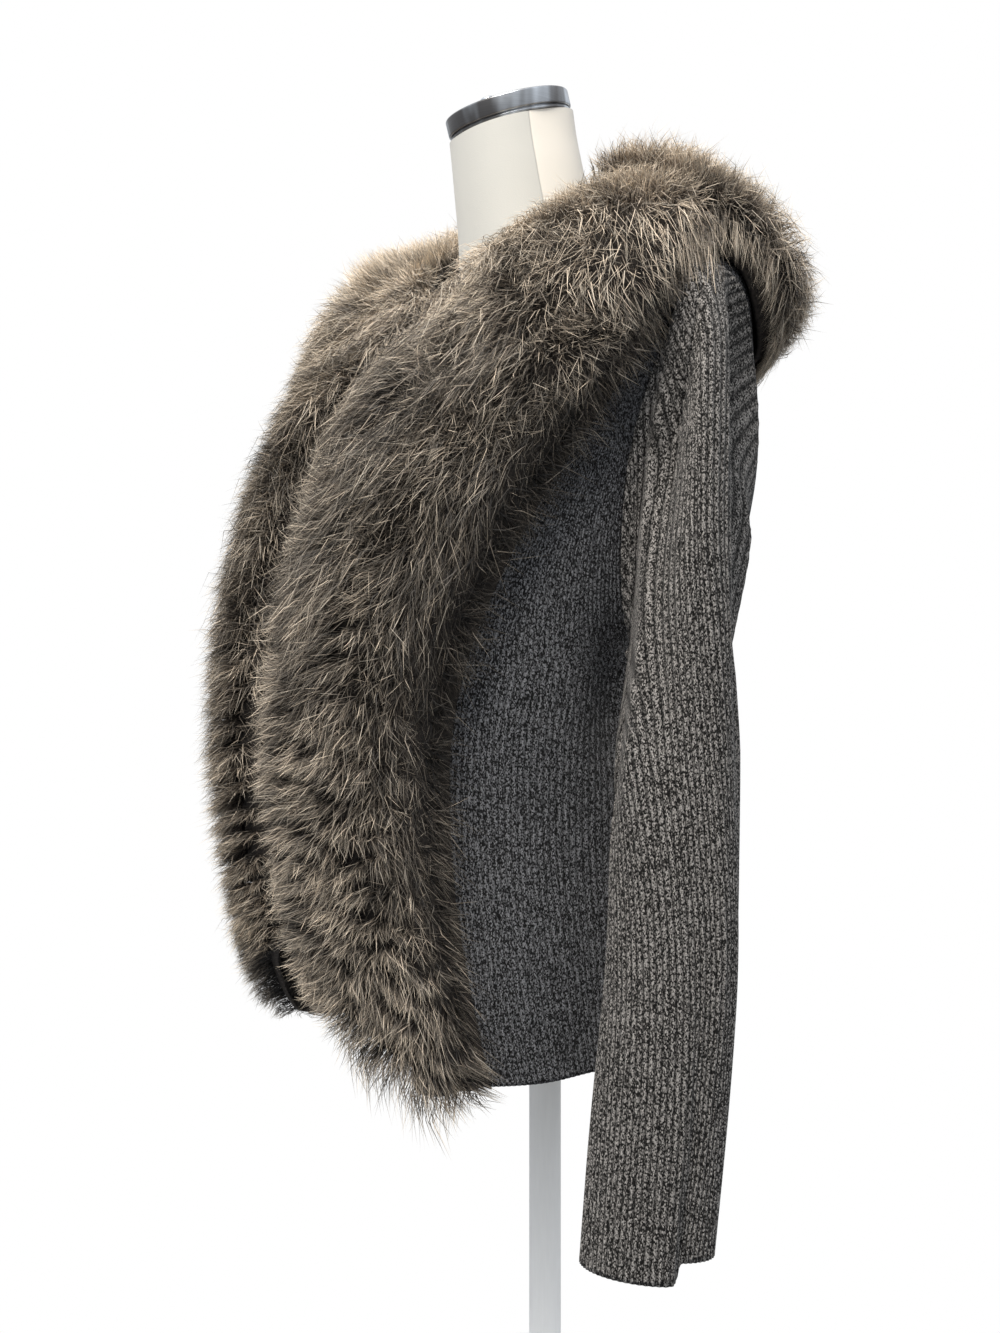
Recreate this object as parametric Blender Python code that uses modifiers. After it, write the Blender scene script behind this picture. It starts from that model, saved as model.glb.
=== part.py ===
"""Rib-knit sweater jacket with fur fronts and a fur collar, shown on a limbless dress form.

Metres, +Z up. The front faces -Y and the wearer's left is +X. The origin is the middle of the
foot's underside. Cloth is lofted between rings: a place counts rings up the body or down a
sleeve, and an angle runs round the body from the centre front (0) by the left side (90) to the
centre back (180).
"""

import math
from collections import namedtuple

import bmesh
import bpy
from mathutils import Vector

# Driving dimensions
KNIT_WALL = 0.0025
RIB_HEIGHT = 0.0008
SEAM_GAP = 0.0003
BACK_RIBS = 68
FRONT_RIBS = 22
SLEEVE_RIBS = 46
FUR_ROWS = 28
FUR_ROW_DEPTH = 0.0035
FUR_EDGE_HEIGHT = 0.007
FUR_ROUNDING = 0.028
NECK_FALL = 0.65
COLLAR_RISE = 0.5
COLLAR_LIFT = 0.0030
SLEEVE_LIFT = 0.0022
SHOULDER_TURN = 0.25
FUR_SET_UP = 0.008
FUR_SET_IN = 13
CAP_RADIUS = 0.043
CAP_HEIGHT = 0.014
KNOB_RADIUS = 0.005
KNOB_HEIGHT = 0.007
POLE_RADIUS = 0.011
FOOT_RADIUS = 0.15
FOOT_HEIGHT = 0.010
SECTION_POWER = 0.85

# Rings of the cloth's inside, hem to neck
Ring = namedtuple("Ring", "z_front z_side z_back half_width front back mid_y")
JACKET_RINGS = [
    Ring(0.300, 0.297, 0.297, 0.135, 0.150, 0.100, 0.0),
    Ring(0.370, 0.370, 0.370, 0.132, 0.165, 0.096, 0.0),
    Ring(0.450, 0.450, 0.450, 0.128, 0.174, 0.084, 0.0),
    Ring(0.530, 0.530, 0.530, 0.134, 0.175, 0.088, 0.0),
    Ring(0.610, 0.610, 0.610, 0.143, 0.164, 0.096, 0.0),
    Ring(0.680, 0.680, 0.680, 0.153, 0.138, 0.099, 0.0),
    Ring(0.738, 0.736, 0.745, 0.164, 0.108, 0.094, 0.0),
    Ring(0.774, 0.785, 0.794, 0.171, 0.090, 0.080, 0.0),
    Ring(0.796, 0.820, 0.834, 0.124, 0.079, 0.066, 0.0),
    Ring(0.812, 0.850, 0.868, 0.062, 0.068, 0.052, 0.0),
]
HEM, SHOULDER, NECK = 0.0, 7.25, 9.0

# Rings of the dress form, underside to neck top
FORM_RINGS = [
    Ring(0.335, 0.335, 0.335, 0.117, 0.095, 0.084, 0.0),
    Ring(0.380, 0.380, 0.380, 0.119, 0.101, 0.085, 0.0),
    Ring(0.450, 0.450, 0.450, 0.106, 0.086, 0.070, 0.0),
    Ring(0.530, 0.530, 0.530, 0.116, 0.098, 0.076, 0.0),
    Ring(0.615, 0.615, 0.615, 0.131, 0.124, 0.086, 0.0),
    Ring(0.680, 0.680, 0.680, 0.143, 0.114, 0.090, 0.0),
    Ring(0.733, 0.731, 0.739, 0.155, 0.092, 0.085, 0.0),
    Ring(0.766, 0.777, 0.784, 0.163, 0.076, 0.070, 0.0),
    Ring(0.786, 0.810, 0.822, 0.114, 0.064, 0.056, 0.0),
    Ring(0.804, 0.832, 0.845, 0.060, 0.052, 0.046, -0.006),
    Ring(0.836, 0.848, 0.860, 0.046, 0.046, 0.044, -0.014),
    Ring(0.884, 0.894, 0.905, 0.0415, 0.0415, 0.0415, -0.024),
    Ring(0.908, 0.920, 0.932, 0.0405, 0.0405, 0.0405, -0.028),
]
FORM_COLUMNS = 32
FORM_STEPS = 1.5

# The armhole is an oval of places and angles on the body
ARMHOLE_FOOT, ARMHOLE_TOP = 3.25, 6.95
ARMHOLE_FRONT, ARMHOLE_BACK = 13.0, 26.0

# Fur front, hem to shoulder: its opening edge, its sewn edge, the side edge of the knit beside it, and
# how far its pile falls away in a long slope to the neck (1) or stays full up to the opening (0)
Station = namedtuple("Station", "inner_place inner_angle outer_place outer_angle side_place height fall")
FRONT_STATIONS = [
    Station(1.00, 2.0, 0.00, 46.0, 0.00, 0.043, 0.0),
    Station(1.62, 2.0, 1.00, 44.0, 1.00, 0.050, 0.0),
    Station(2.36, 2.0, 2.00, 43.0, 2.00, 0.056, 0.0),
    Station(3.22, 2.0, 3.00, 44.0, 3.00, 0.057, 0.0),
    Station(4.15, 2.0, 4.00, 51.0, 3.90, 0.054, 0.0),
    Station(5.20, 2.0, 5.00, 60.0, 4.80, 0.051, 0.0),
    Station(6.50, 2.0, 5.90, 69.0, 5.60, 0.050, 0.6),
    Station(8.30, 5.0, 6.50, 75.0, 6.20, 0.050, 1.0),
    Station(9.00, 42.0, 6.95, 82.0, 6.70, 0.050, 1.0),
    Station(9.00, 90.0, 7.25, 90.0, 6.95, 0.050, 0.6),
]
FRONT_TOP = len(FRONT_STATIONS) - 1
FUR_FOOT = -0.2
FRONT_ROWS = [0, 1, 2.1, 3.1, 3.36, 3.8, 4.3, 4.9, 5.7, 6.6, 7.5, 8.4, FRONT_TOP]

# Fur collar, left shoulder to centre back: its lower edge and its height at the neck and the middle
CollarStation = namedtuple("CollarStation", "angle outer_place neck_height height")
COLLAR_STATIONS = [
    CollarStation(90.0, 7.25, 0.026, 0.050),
    CollarStation(101.0, 7.12, 0.028, 0.048),
    CollarStation(115.0, 6.52, 0.030, 0.043),
    CollarStation(133.0, 6.10, 0.032, 0.038),
    CollarStation(156.0, 5.92, 0.032, 0.036),
    CollarStation(180.0, 5.88, 0.032, 0.036),
]
COLLAR_MIDDLE = len(COLLAR_STATIONS) - 1

# Left sleeve below the armhole: its outer and inner lines, its depth, half the width of the bar in which
# its empty top hangs, how far it sinks in beside that bar, and the crease at its cuff
SleeveRing = namedtuple(
    "SleeveRing",
    "outer_x outer_y outer_z inner_x inner_y inner_z half_depth bar_half sink crease crease_angle",
)
SLEEVE_RINGS = [
    SleeveRing(0.187, -0.014, 0.780, 0.151, -0.004, 0.536, 0.046, 0.020, 0.004, 0.00, 30.0),
    SleeveRing(0.198, -0.014, 0.744, 0.153, -0.006, 0.520, 0.049, 0.012, 0.013, 0.00, 30.0),
    SleeveRing(0.207, -0.021, 0.690, 0.155, -0.016, 0.503, 0.045, 0.014, 0.018, 0.00, 30.0),
    SleeveRing(0.213, -0.026, 0.622, 0.156, -0.030, 0.482, 0.040, 0.019, 0.014, 0.00, 30.0),
    SleeveRing(0.217, -0.023, 0.546, 0.157, -0.043, 0.452, 0.034, 0.026, 0.005, 0.01, 36.0),
    SleeveRing(0.219, -0.020, 0.465, 0.159, -0.054, 0.412, 0.028, 0.060, 0.000, 0.02, 42.0),
    SleeveRing(0.220, -0.019, 0.385, 0.162, -0.065, 0.358, 0.025, 0.200, 0.000, 0.05, 52.0),
    SleeveRing(0.220, -0.025, 0.300, 0.165, -0.077, 0.288, 0.023, 0.200, 0.000, 0.14, 60.0),
    SleeveRing(0.219, -0.034, 0.212, 0.167, -0.086, 0.214, 0.022, 0.200, 0.000, 0.30, 64.0),
]
CUFF = len(SLEEVE_RINGS)
BAR_FOOT, BAR_END = 60.0, 95.0
SINK_ANGLE, SINK_SPREAD, BACK_SINK_SHARE = 78.0, 24.0, 0.3
CREASE_FRONT_SPREAD, CREASE_BACK_SPREAD = 9.0, 42.0
RIGHT_SWING, RIGHT_TUCK = 0.080, 0.020


def along(rows, place):
    """The values at a place of a table, on a smooth curve through its rows that runs on below the first."""
    last = len(rows) - 1
    place = min(place, last)
    start = max(min(int(place), last - 1), 0)
    f = place - start
    near = [rows[min(max(start + k, 0), last)] for k in (-1, 0, 1, 2)]
    return [
        0.5 * (2 * b + f * (c - a) + f * f * (2 * a - 5 * b + 4 * c - d) + f**3 * (3 * b - a - 3 * c + d))
        for a, b, c, d in zip(*near)
    ]


def evenly(low, high, count):
    """Count values from low to high."""
    return [low + (high - low) * i / (count - 1) for i in range(count)]


def mix(a, b, share):
    return a + (b - a) * share


def bent(value):
    """The section's power of a sine or cosine, which squares a round section a little."""
    return math.copysign(abs(value) ** SECTION_POWER, value)


def on_rings(rings, place, angle):
    """A point of a body that is lofted through rings."""
    ring = Ring(*along(rings, place))
    sine, cosine = math.sin(math.radians(angle)), math.cos(math.radians(angle))
    reach, z_end = (ring.front, ring.z_front) if cosine > 0 else (ring.back, ring.z_back)
    return Vector((
        ring.half_width * bent(sine),
        ring.mid_y - reach * bent(cosine),
        ring.z_side + (z_end - ring.z_side) * abs(bent(cosine)),
    ))


def moved_out(surface, place, angle, out, turn=1):
    """A point of a surface, moved out along its normal. Turn is -1 where places run down."""
    step_place, step_angle = 0.04, 0.6
    across = surface(place, angle + step_angle) - surface(place, angle - step_angle)
    on = surface(place + step_place, angle) - surface(place - step_place, angle)
    return surface(place, angle) + across.cross(on).normalized() * out * turn


def jacket(place, angle):
    return on_rings(JACKET_RINGS, place, angle)


def seam_turn(place, angle):
    """Half a seam's gap, as an angle round the body."""
    metres_per_degree = (jacket(place, angle + 0.5) - jacket(place, angle - 0.5)).length
    return SEAM_GAP / 2 / metres_per_degree


def armhole_opening(place):
    """How far the armhole is open at a place, from 0 at its ends to 1 at its middle."""
    middle, half = (ARMHOLE_TOP + ARMHOLE_FOOT) / 2, (ARMHOLE_TOP - ARMHOLE_FOOT) / 2
    return math.sqrt(max(0.0, 1 - ((place - middle) / half) ** 2))


def zip_rows(rows_of_faces, first, second):
    """Joins two rows of vertices of unlike counts with triangles."""
    i = j = 0
    while i < len(first) - 1 or j < len(second) - 1:
        ahead = (i + 1) / (len(first) - 1) <= (j + 1) / (len(second) - 1)
        if ahead and i < len(first) - 1 or j == len(second) - 1:
            rows_of_faces.append((first[i], first[i + 1], second[j]))
            i += 1
        else:
            rows_of_faces.append((first[i], second[j + 1], second[j]))
            j += 1


def grid_faces(faces, grid):
    for low, high in zip(grid, grid[1:]):
        for k in range(len(low) - 1):
            faces.append((low[k], low[k + 1], high[k + 1], high[k]))


def solid(name, points_and_faces, material):
    """Adds a closed mesh object with its faces pointing out."""
    points, faces = points_and_faces
    mesh = bpy.data.meshes.new(name)
    shape = bmesh.new()
    vertices = [shape.verts.new(point) for point in points]
    for face in faces:
        shape.faces.new([vertices[k] for k in face])
    bmesh.ops.recalc_face_normals(shape, faces=shape.faces)
    shape.to_mesh(mesh)
    shape.free()
    mesh.shade_smooth()
    mesh.set_sharp_from_angle(angle=math.radians(40))
    item = bpy.data.objects.new(name, mesh)
    parts.objects.link(item)
    mesh.materials.append(material)
    return item


def wall(outer, inner, tube):
    """A wall between an outer and an inner grid of points. A tube's rows close on themselves."""
    points, grids = [], []
    for rows in (outer, inner):
        grid = []
        for row in rows:
            numbers = list(range(len(points), len(points) + len(row)))
            points.extend(row)
            grid.append(numbers + numbers[:1] if tube else numbers)
        grids.append(grid)
    faces = []
    for grid in grids:
        grid_faces(faces, grid)
    for end in (0, -1):
        zip_rows(faces, grids[0][end], grids[1][end])
        if not tube:
            zip_rows(faces, [row[end] for row in grids[0]], [row[end] for row in grids[1]])
    return points, faces


def mirrored(points_and_faces):
    points, faces = points_and_faces
    return [Vector((-p.x, p.y, p.z)) for p in points], faces


def patch(left_edge, right_edge, shares, stations, height, last_point=None):
    """A grid of points on the body between two edges, moved out by a height for each share and station.

    A last_point gives the right edge's points where they follow a neighbour's straight rows.
    """
    grid = []
    for row, station in enumerate(stations):
        left, right = left_edge(station), right_edge(station)
        ends = [[mix(left[k], right[k], share) for share in shares] for k in (0, 1)]
        grid.append([
            moved_out(jacket, place, angle, height(row, column, station, shares[column]))
            for column, (place, angle) in enumerate(zip(*ends))
        ])
        if last_point:
            grid[-1][-1] = last_point(station, height(row, len(shares) - 1, station, 1.0))
    return grid


def rib_height(row, column, station, share):
    """Knit stands up in a ridge at every second column."""
    return KNIT_WALL + RIB_HEIGHT * (column % 2)


def flat_inside(row, column, station, share):
    return 0.0


def knit_panel(left_edge, right_edge, ribs, inside_columns, stations):
    outer = patch(left_edge, right_edge, evenly(0, 1, 2 * ribs + 1), stations, rib_height)
    inner = patch(left_edge, right_edge, evenly(0, 1, inside_columns), stations, flat_inside)
    return wall(outer, inner, tube=False)


def back_left_edge(place):
    angle = 90 + ARMHOLE_BACK * armhole_opening(place)
    return place, angle + seam_turn(place, angle)


def back_right_edge(place):
    return place, 360 - back_left_edge(place)[1]


def back_panel():
    places = [HEM, 1, 2.1, 3.2, 3.5, 4.3, 5.4, 6.4, 6.95, 7.4, 8.2, NECK]
    return knit_panel(back_left_edge, back_right_edge, BACK_RIBS, 23, places)


def front_station(station):
    return Station(*along(FRONT_STATIONS, station))


def sewn_edge(station):
    """Where fur and knit are sewn together."""
    values = front_station(station)
    return values.outer_place, values.outer_angle


def front_knit_edge(station):
    place, angle = sewn_edge(station)
    return place, min(angle + seam_turn(place, angle), 90 - seam_turn(place, 90))


def front_side_edge(station):
    place = front_station(station).side_place
    angle = 90 - ARMHOLE_FRONT * armhole_opening(place)
    return place, angle - seam_turn(place, angle)


def front_panel():
    return knit_panel(front_knit_edge, front_side_edge, FRONT_RIBS, 9, FRONT_ROWS)


def opening_edge(station):
    values = front_station(station)
    return min(values.inner_place, NECK), values.inner_angle - SHOULDER_TURN * (station == FRONT_TOP)


def front_fur_edge(station):
    place, angle = sewn_edge(station)
    return place + FUR_SET_UP, min(angle - FUR_SET_IN * seam_turn(place, angle), 90 - SHOULDER_TURN)


def front_fur_edge_point(station, out):
    """A point of the fur's sewn edge, which runs straight between the rows of the knit beside it."""
    low = max(row for row in FRONT_ROWS[:-1] if row <= max(station, 0))
    high = min(row for row in FRONT_ROWS[1:] if row > low)
    ends = [moved_out(jacket, *front_fur_edge(row), out) for row in (low, high)]
    return ends[0].lerp(ends[1], (station - low) / (high - low))


def rounded(distance):
    """A share of the full height that rises in a quarter round from an edge."""
    inside = min(max(distance / FUR_ROUNDING, 0.0), 1.0)
    return math.sqrt(1 - (1 - inside) ** 2)


def front_fur_height(row, column, station, share):
    """The pile's height over its backing, with a ridge for each knitted row of fur strips."""
    width, length = 0.165, 0.52
    values = front_station(station)
    across = mix(rounded(share * width), smooth_step(share / NECK_FALL), values.fall)
    across *= rounded((1 - share) * width)
    lift = rounded((station - FUR_FOOT) / FRONT_TOP * length)
    height = mix(FUR_EDGE_HEIGHT, values.height, across * lift)
    return height - FUR_ROW_DEPTH * (row % 2) * across * lift


def fur_front():
    edges = opening_edge, front_fur_edge
    shares = [0, 0.03, 0.09, 0.19, 0.34, 0.5, 0.66, 0.81, 0.91, 0.97, 1]
    rows = evenly(FUR_FOOT, FRONT_TOP, 2 * FUR_ROWS + 1)
    outer = patch(*edges, shares, rows, front_fur_height, front_fur_edge_point)
    inside_rows = [FUR_FOOT] + FRONT_ROWS[1:]
    inner = patch(*edges, evenly(0, 1, 6), inside_rows, flat_inside, front_fur_edge_point)
    return wall(outer, inner, tube=False)


def collar_station(station):
    """The collar at a station from the left shoulder (0) over the centre back to the right shoulder."""
    side = min(station, 2 * COLLAR_MIDDLE - station)
    values = CollarStation(*along(COLLAR_STATIONS, side))
    angle = values.angle + SHOULDER_TURN * (side == 0)
    return values._replace(angle=angle if station <= COLLAR_MIDDLE else 360 - angle)


def collar_neck_edge(station):
    return NECK, collar_station(station).angle


def collar_lower_edge(station):
    values = collar_station(station)
    return values.outer_place, values.angle


def on_back_panel(row, column, station, share):
    """The height of the fur's backing, which lies clear of the ribs below."""
    return KNIT_WALL + RIB_HEIGHT + COLLAR_LIFT


def collar_height(row, column, station, share):
    values, depth = collar_station(station), 0.13
    crown = rounded((1 - share) * depth)
    rise = min(share / COLLAR_RISE, 1.0)
    full = mix(values.neck_height, values.height, math.sin(rise * math.pi / 2))
    return on_back_panel(row, column, station, share) + mix(FUR_EDGE_HEIGHT, full, crown)


def fur_collar():
    shares = [0, 0.1, 0.22, 0.36, 0.52, 0.68, 0.82, 0.92, 0.98, 1]
    end = 2 * COLLAR_MIDDLE
    outer = patch(collar_neck_edge, collar_lower_edge, shares, evenly(0, end, 37), collar_height)
    inner = patch(collar_neck_edge, collar_lower_edge, evenly(0, 1, 10), evenly(0, end, 25), on_back_panel)
    return wall(outer, inner, tube=False)


def hump(difference, spread):
    return math.exp(-((difference / spread) ** 2))


def smooth_step(value):
    value = min(max(value, 0.0), 1.0)
    return value * value * (3 - 2 * value)


def sleeve_ring(number, angle):
    """A point of one sleeve ring. Angles run from the outer line (0) by the front (90) to the inside (180)."""
    sine, cosine = math.sin(math.radians(angle)), math.cos(math.radians(angle))
    if number == 0:
        middle, half = (ARMHOLE_TOP + ARMHOLE_FOOT) / 2, (ARMHOLE_TOP - ARMHOLE_FOOT) / 2 + 0.04
        place = middle + half * cosine
        body_angle = 90 - sine * (ARMHOLE_FRONT + 0.9 if sine > 0 else ARMHOLE_BACK + 1.2)
        return moved_out(jacket, place, body_angle, KNIT_WALL + RIB_HEIGHT + SLEEVE_LIFT)
    ring = SLEEVE_RINGS[number - 1]
    outer = Vector((ring.outer_x, ring.outer_y, ring.outer_z))
    inner = Vector((ring.inner_x, ring.inner_y, ring.inner_z))
    half = (outer - inner) / 2
    forward = Vector((0, -1, 0))
    forward = (forward - half * (half.dot(forward) / half.length_squared)).normalized()
    turned = (angle + 180) % 360 - 180
    depth = ring.half_depth * sine
    bar = ring.bar_half * math.tanh(depth / ring.bar_half)
    depth = mix(bar, depth, smooth_step((abs(turned) - BAR_FOOT) / (BAR_END - BAR_FOOT)))
    past = turned - ring.crease_angle
    share = 1 - ring.crease * hump(past, CREASE_FRONT_SPREAD if past > 0 else CREASE_BACK_SPREAD)
    sink = ring.sink if turned > 0 else ring.sink * BACK_SINK_SHARE
    sunk = Vector((sink * hump(abs(turned) - SINK_ANGLE, SINK_SPREAD), 0, 0))
    return (outer + inner) / 2 + (half * cosine + forward * depth) * share - sunk


def sleeve_surface(place, angle):
    rings = range(CUFF + 1)
    nearest = min(max(int(place), 0), CUFF - 1)
    rows = {k: sleeve_ring(k, angle) for k in rings if nearest - 1 <= k <= nearest + 2}
    return Vector(along([rows.get(k, Vector()) for k in rings], place))


def sleeve(swing=0.0, tuck=0.0):
    """A sleeve, which swings back and tucks in towards the body as it hangs down to its cuff."""

    def surface(place, angle):
        hang = max(place, 0.0) / CUFF
        return sleeve_surface(place, angle) + Vector((-tuck * hang, swing * hang, 0))

    places = [0, 0.6, 1.3, 2.2, 3.2, 4.2, 5.2, 6.2, 7.2, 8.2, CUFF]
    outside, inside = evenly(0, 360, 2 * SLEEVE_RIBS + 1)[:-1], evenly(0, 360, 25)[:-1]
    outer = [
        [moved_out(surface, p, a, KNIT_WALL / 2 + RIB_HEIGHT * (k % 2)) for k, a in enumerate(outside)]
        for p in places
    ]
    inner = [[moved_out(surface, p, a, -KNIT_WALL / 2) for a in inside] for p in places]
    return wall(outer, inner, tube=True)


def form_torso():
    """The form is one smooth closed loft from its underside to its neck."""
    columns = evenly(0, 360, FORM_COLUMNS + 1)[:-1]
    last = len(FORM_RINGS) - 1
    places = evenly(0, last, int(last * FORM_STEPS) + 1)
    points = [on_rings(FORM_RINGS, place, angle) for place in places for angle in columns]
    rows = [[r * FORM_COLUMNS + k for k in range(FORM_COLUMNS)] for r in range(len(places))]
    faces = [tuple(rows[0]), tuple(rows[-1])]
    grid_faces(faces, [row + row[:1] for row in rows])
    return points, faces


def turned_piece(name, radius, height, centre, tilt, bevel, sides, material):
    """A round plate, rod or knob from a cylinder with bevelled rims."""
    bpy.ops.mesh.primitive_cylinder_add(
        vertices=sides, radius=radius, depth=height, location=centre, rotation=(tilt, 0, 0)
    )
    item = bpy.context.object
    item.name = item.data.name = name
    for holder in item.users_collection:
        holder.objects.unlink(item)
    parts.objects.link(item)
    item.data.materials.append(material)
    rim = item.modifiers.new("rim", "BEVEL")
    rim.width, rim.segments, rim.limit_method, rim.angle_limit = bevel, 1, "ANGLE", math.radians(40)
    item.data.shade_smooth()
    item.data.set_sharp_from_angle(angle=math.radians(40))
    return item


def form_fittings(metal, lacquer):
    """The neck's cap with its knob, and the pole and round foot that the form stands on."""
    top = FORM_RINGS[-1]
    tilt = math.atan2(top.z_back - top.z_front, top.front + top.back)
    up = Vector((0, -math.sin(tilt), math.cos(tilt)))
    ahead = Vector((0, -math.cos(tilt), -math.sin(tilt)))
    seat = Vector((0, top.mid_y, top.z_side)) + up * SEAM_GAP
    cap_top = seat + up * (CAP_HEIGHT + SEAM_GAP)
    knob_offset = 0.014
    turned_piece(
        "form_neck_cap", CAP_RADIUS, CAP_HEIGHT, seat + up * CAP_HEIGHT / 2, tilt, 0.0015, 40, metal
    )
    turned_piece(
        "form_cap_knob", KNOB_RADIUS, KNOB_HEIGHT, cap_top + up * KNOB_HEIGHT / 2 + ahead * knob_offset,
        tilt, 0.0012, 12, metal,
    )
    underside = FORM_RINGS[0].z_side
    pole_length = underside - FOOT_HEIGHT - 2 * SEAM_GAP
    pole_middle = (0, 0, FOOT_HEIGHT + SEAM_GAP + pole_length / 2)
    turned_piece("form_pole", POLE_RADIUS, pole_length, pole_middle, 0, 0.0008, 16, lacquer)
    turned_piece("form_foot", FOOT_RADIUS, FOOT_HEIGHT, (0, 0, FOOT_HEIGHT / 2), 0, 0.003, 40, lacquer)


def finish(name, colour, roughness, metallic=0.0):
    material = bpy.data.materials.new(name)
    material.use_nodes = True
    shader = material.node_tree.nodes["Principled BSDF"]
    shader.inputs["Base Color"].default_value = (*colour, 1)
    shader.inputs["Roughness"].default_value = roughness
    shader.inputs["Metallic"].default_value = metallic
    return material


for old in list(bpy.data.objects):
    bpy.data.objects.remove(old)
parts = bpy.data.collections.new("sweater_jacket_on_form")
bpy.context.scene.collection.children.link(parts)

knit = finish("melange_knit", (0.075, 0.070, 0.066), 0.9)
fur = finish("brown_fur", (0.145, 0.118, 0.092), 0.8)
cover = finish("cream_cover", (0.84, 0.82, 0.76), 0.85)
steel = finish("dark_steel", (0.22, 0.22, 0.23), 0.35, 1.0)
white = finish("white_lacquer", (0.86, 0.86, 0.85), 0.4)

solid("jacket_back", back_panel(), knit)
for side, turn in (("left", list), ("right", mirrored)):
    solid(f"jacket_front_{side}", turn(front_panel()), knit)
    solid(f"fur_front_{side}", turn(fur_front()), fur)
solid("sleeve_left", sleeve(), knit)
solid("sleeve_right", mirrored(sleeve(RIGHT_SWING, RIGHT_TUCK)), knit)
solid("fur_collar", fur_collar(), fur)
solid("form_torso", form_torso(), cover)
form_fittings(steel, white)
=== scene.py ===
"""Rib-knit sweater jacket with knitted-fur fronts and collar on a cream dress form."""

import math
from collections import namedtuple

import bpy
import numpy as np
from mathutils import Matrix, Vector


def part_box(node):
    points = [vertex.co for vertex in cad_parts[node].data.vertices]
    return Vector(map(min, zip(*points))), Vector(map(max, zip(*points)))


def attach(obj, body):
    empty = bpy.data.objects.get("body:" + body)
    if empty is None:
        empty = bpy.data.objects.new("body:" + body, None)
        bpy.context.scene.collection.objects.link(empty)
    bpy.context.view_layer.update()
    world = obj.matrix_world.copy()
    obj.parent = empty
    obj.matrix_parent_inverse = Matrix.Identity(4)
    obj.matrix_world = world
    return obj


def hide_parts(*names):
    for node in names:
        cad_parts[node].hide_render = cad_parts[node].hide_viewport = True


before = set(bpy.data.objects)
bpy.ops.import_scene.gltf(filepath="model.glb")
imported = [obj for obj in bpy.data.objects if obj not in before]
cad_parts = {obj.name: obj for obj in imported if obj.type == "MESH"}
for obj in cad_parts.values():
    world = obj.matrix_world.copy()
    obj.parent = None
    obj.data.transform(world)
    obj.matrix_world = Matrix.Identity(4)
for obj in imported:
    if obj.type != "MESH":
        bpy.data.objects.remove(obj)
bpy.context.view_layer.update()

# Camera
# The view is level, from a metre away, and looks at the jacket's left front quarter.
# The picture is 1000 by 1333 pixels, so the sensor's width lies along its height.
PICTURE_HEIGHT = 1333
FOCAL_PIXELS = 1434
SENSOR = 36.0
VIEW_TURN = math.radians(58)
VIEW_DISTANCE, VIEW_SHIFT, VIEW_HEIGHT = 1.0, -0.0314, 0.55

towards = Vector((math.sin(VIEW_TURN), -math.cos(VIEW_TURN), 0))
to_right = Vector((math.cos(VIEW_TURN), math.sin(VIEW_TURN), 0))
upwards = Vector((0, 0, 1))
lens = bpy.data.cameras.new("camera")
lens.sensor_width = SENSOR
lens.lens = FOCAL_PIXELS / PICTURE_HEIGHT * SENSOR
camera = bpy.data.objects.new("camera", lens)
bpy.context.scene.collection.objects.link(camera)
eye = towards * VIEW_DISTANCE + to_right * VIEW_SHIFT + upwards * VIEW_HEIGHT
facing = Matrix((to_right, upwards, towards)).transposed().to_4x4()
camera.matrix_world = Matrix.Translation(eye) @ facing
bpy.context.scene.camera = camera


# Stand
# A round steel foot and a pole carry the form. Both are turned, with eased rims, and
# lacquered white. The pole stands on the foot and reaches up to the form's underside.
class Wire:
    """A shader value. Python expressions on it add Math nodes."""

    def __init__(self, finish, socket):
        self.finish = finish
        self.socket = socket

    def maths(self, operation, *values):
        return self.finish.node("Math", {"operation": operation}, *values)

    def __add__(self, other):
        return self.maths("ADD", self, other)

    def __sub__(self, other):
        return self.maths("SUBTRACT", self, other)

    def __rsub__(self, other):
        return self.maths("SUBTRACT", other, self)

    def __mul__(self, other):
        return self.maths("MULTIPLY", self, other)

    def __mod__(self, other):
        return self.maths("FLOORED_MODULO", self, other)

    def __pow__(self, other):
        return self.maths("POWER", self, other)

    __radd__ = __add__
    __rmul__ = __mul__

    def floor(self):
        return self.maths("FLOOR", self)

    def size(self):
        return self.maths("ABSOLUTE", self)

    def ramp(self, low, high):
        """0 below low and 1 above high, with soft ends."""
        ends = {"interpolation_type": "SMOOTHSTEP"}
        return self.finish.node("MapRange", ends, Value=self, From_Min=low, From_Max=high)


class Nodes:
    """A node tree, to which nodes are added by type."""

    def __init__(self, tree):
        self.tree = tree

    def plug(self, socket, value):
        if isinstance(value, Wire):
            self.tree.links.new(value.socket, socket)
        elif value is not None:
            socket.default_value = value

    def node(self, kind, settings, *values, output=0, **named):
        """Adds a node, its settings first, then its sockets in order (None skips one) or by name."""
        made = self.tree.nodes.new("ShaderNode" + kind)
        for setting, value in settings.items():
            if setting == "stops":
                self.set_stops(made.color_ramp.elements, value)
            else:
                setattr(made, setting, value)
        for place, value in enumerate(values):
            self.plug(made.inputs[place], value)
        for name, value in named.items():
            self.plug(made.inputs[name.replace("_", " ")], value)
        return Wire(self, made.outputs[output])

    def set_stops(self, elements, stops):
        for element, (place, colour) in zip(elements, (stops[0], stops[-1])):
            element.position = place
            element.color = (*colour, 1)
        for place, colour in stops[1:-1]:
            elements.new(place).color = (*colour, 1)

    def blend(self, low, high, share):
        """Mixes two colours."""
        ends = [end if isinstance(end, Wire) else (*end, 1) for end in (low, high)]
        return self.node("Mix", {"data_type": "RGBA"}, share, *[None] * 5, *ends, output=2)

    def shaded(self, colour, share):
        """A colour, darkened or lightened by a share."""
        return self.node("VectorMath", {"operation": "SCALE"}, colour, Scale=share)

    def bump(self, height, distance, strength=1.0):
        return self.node("Bump", {}, Height=height, Distance=distance, Strength=strength)


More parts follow.
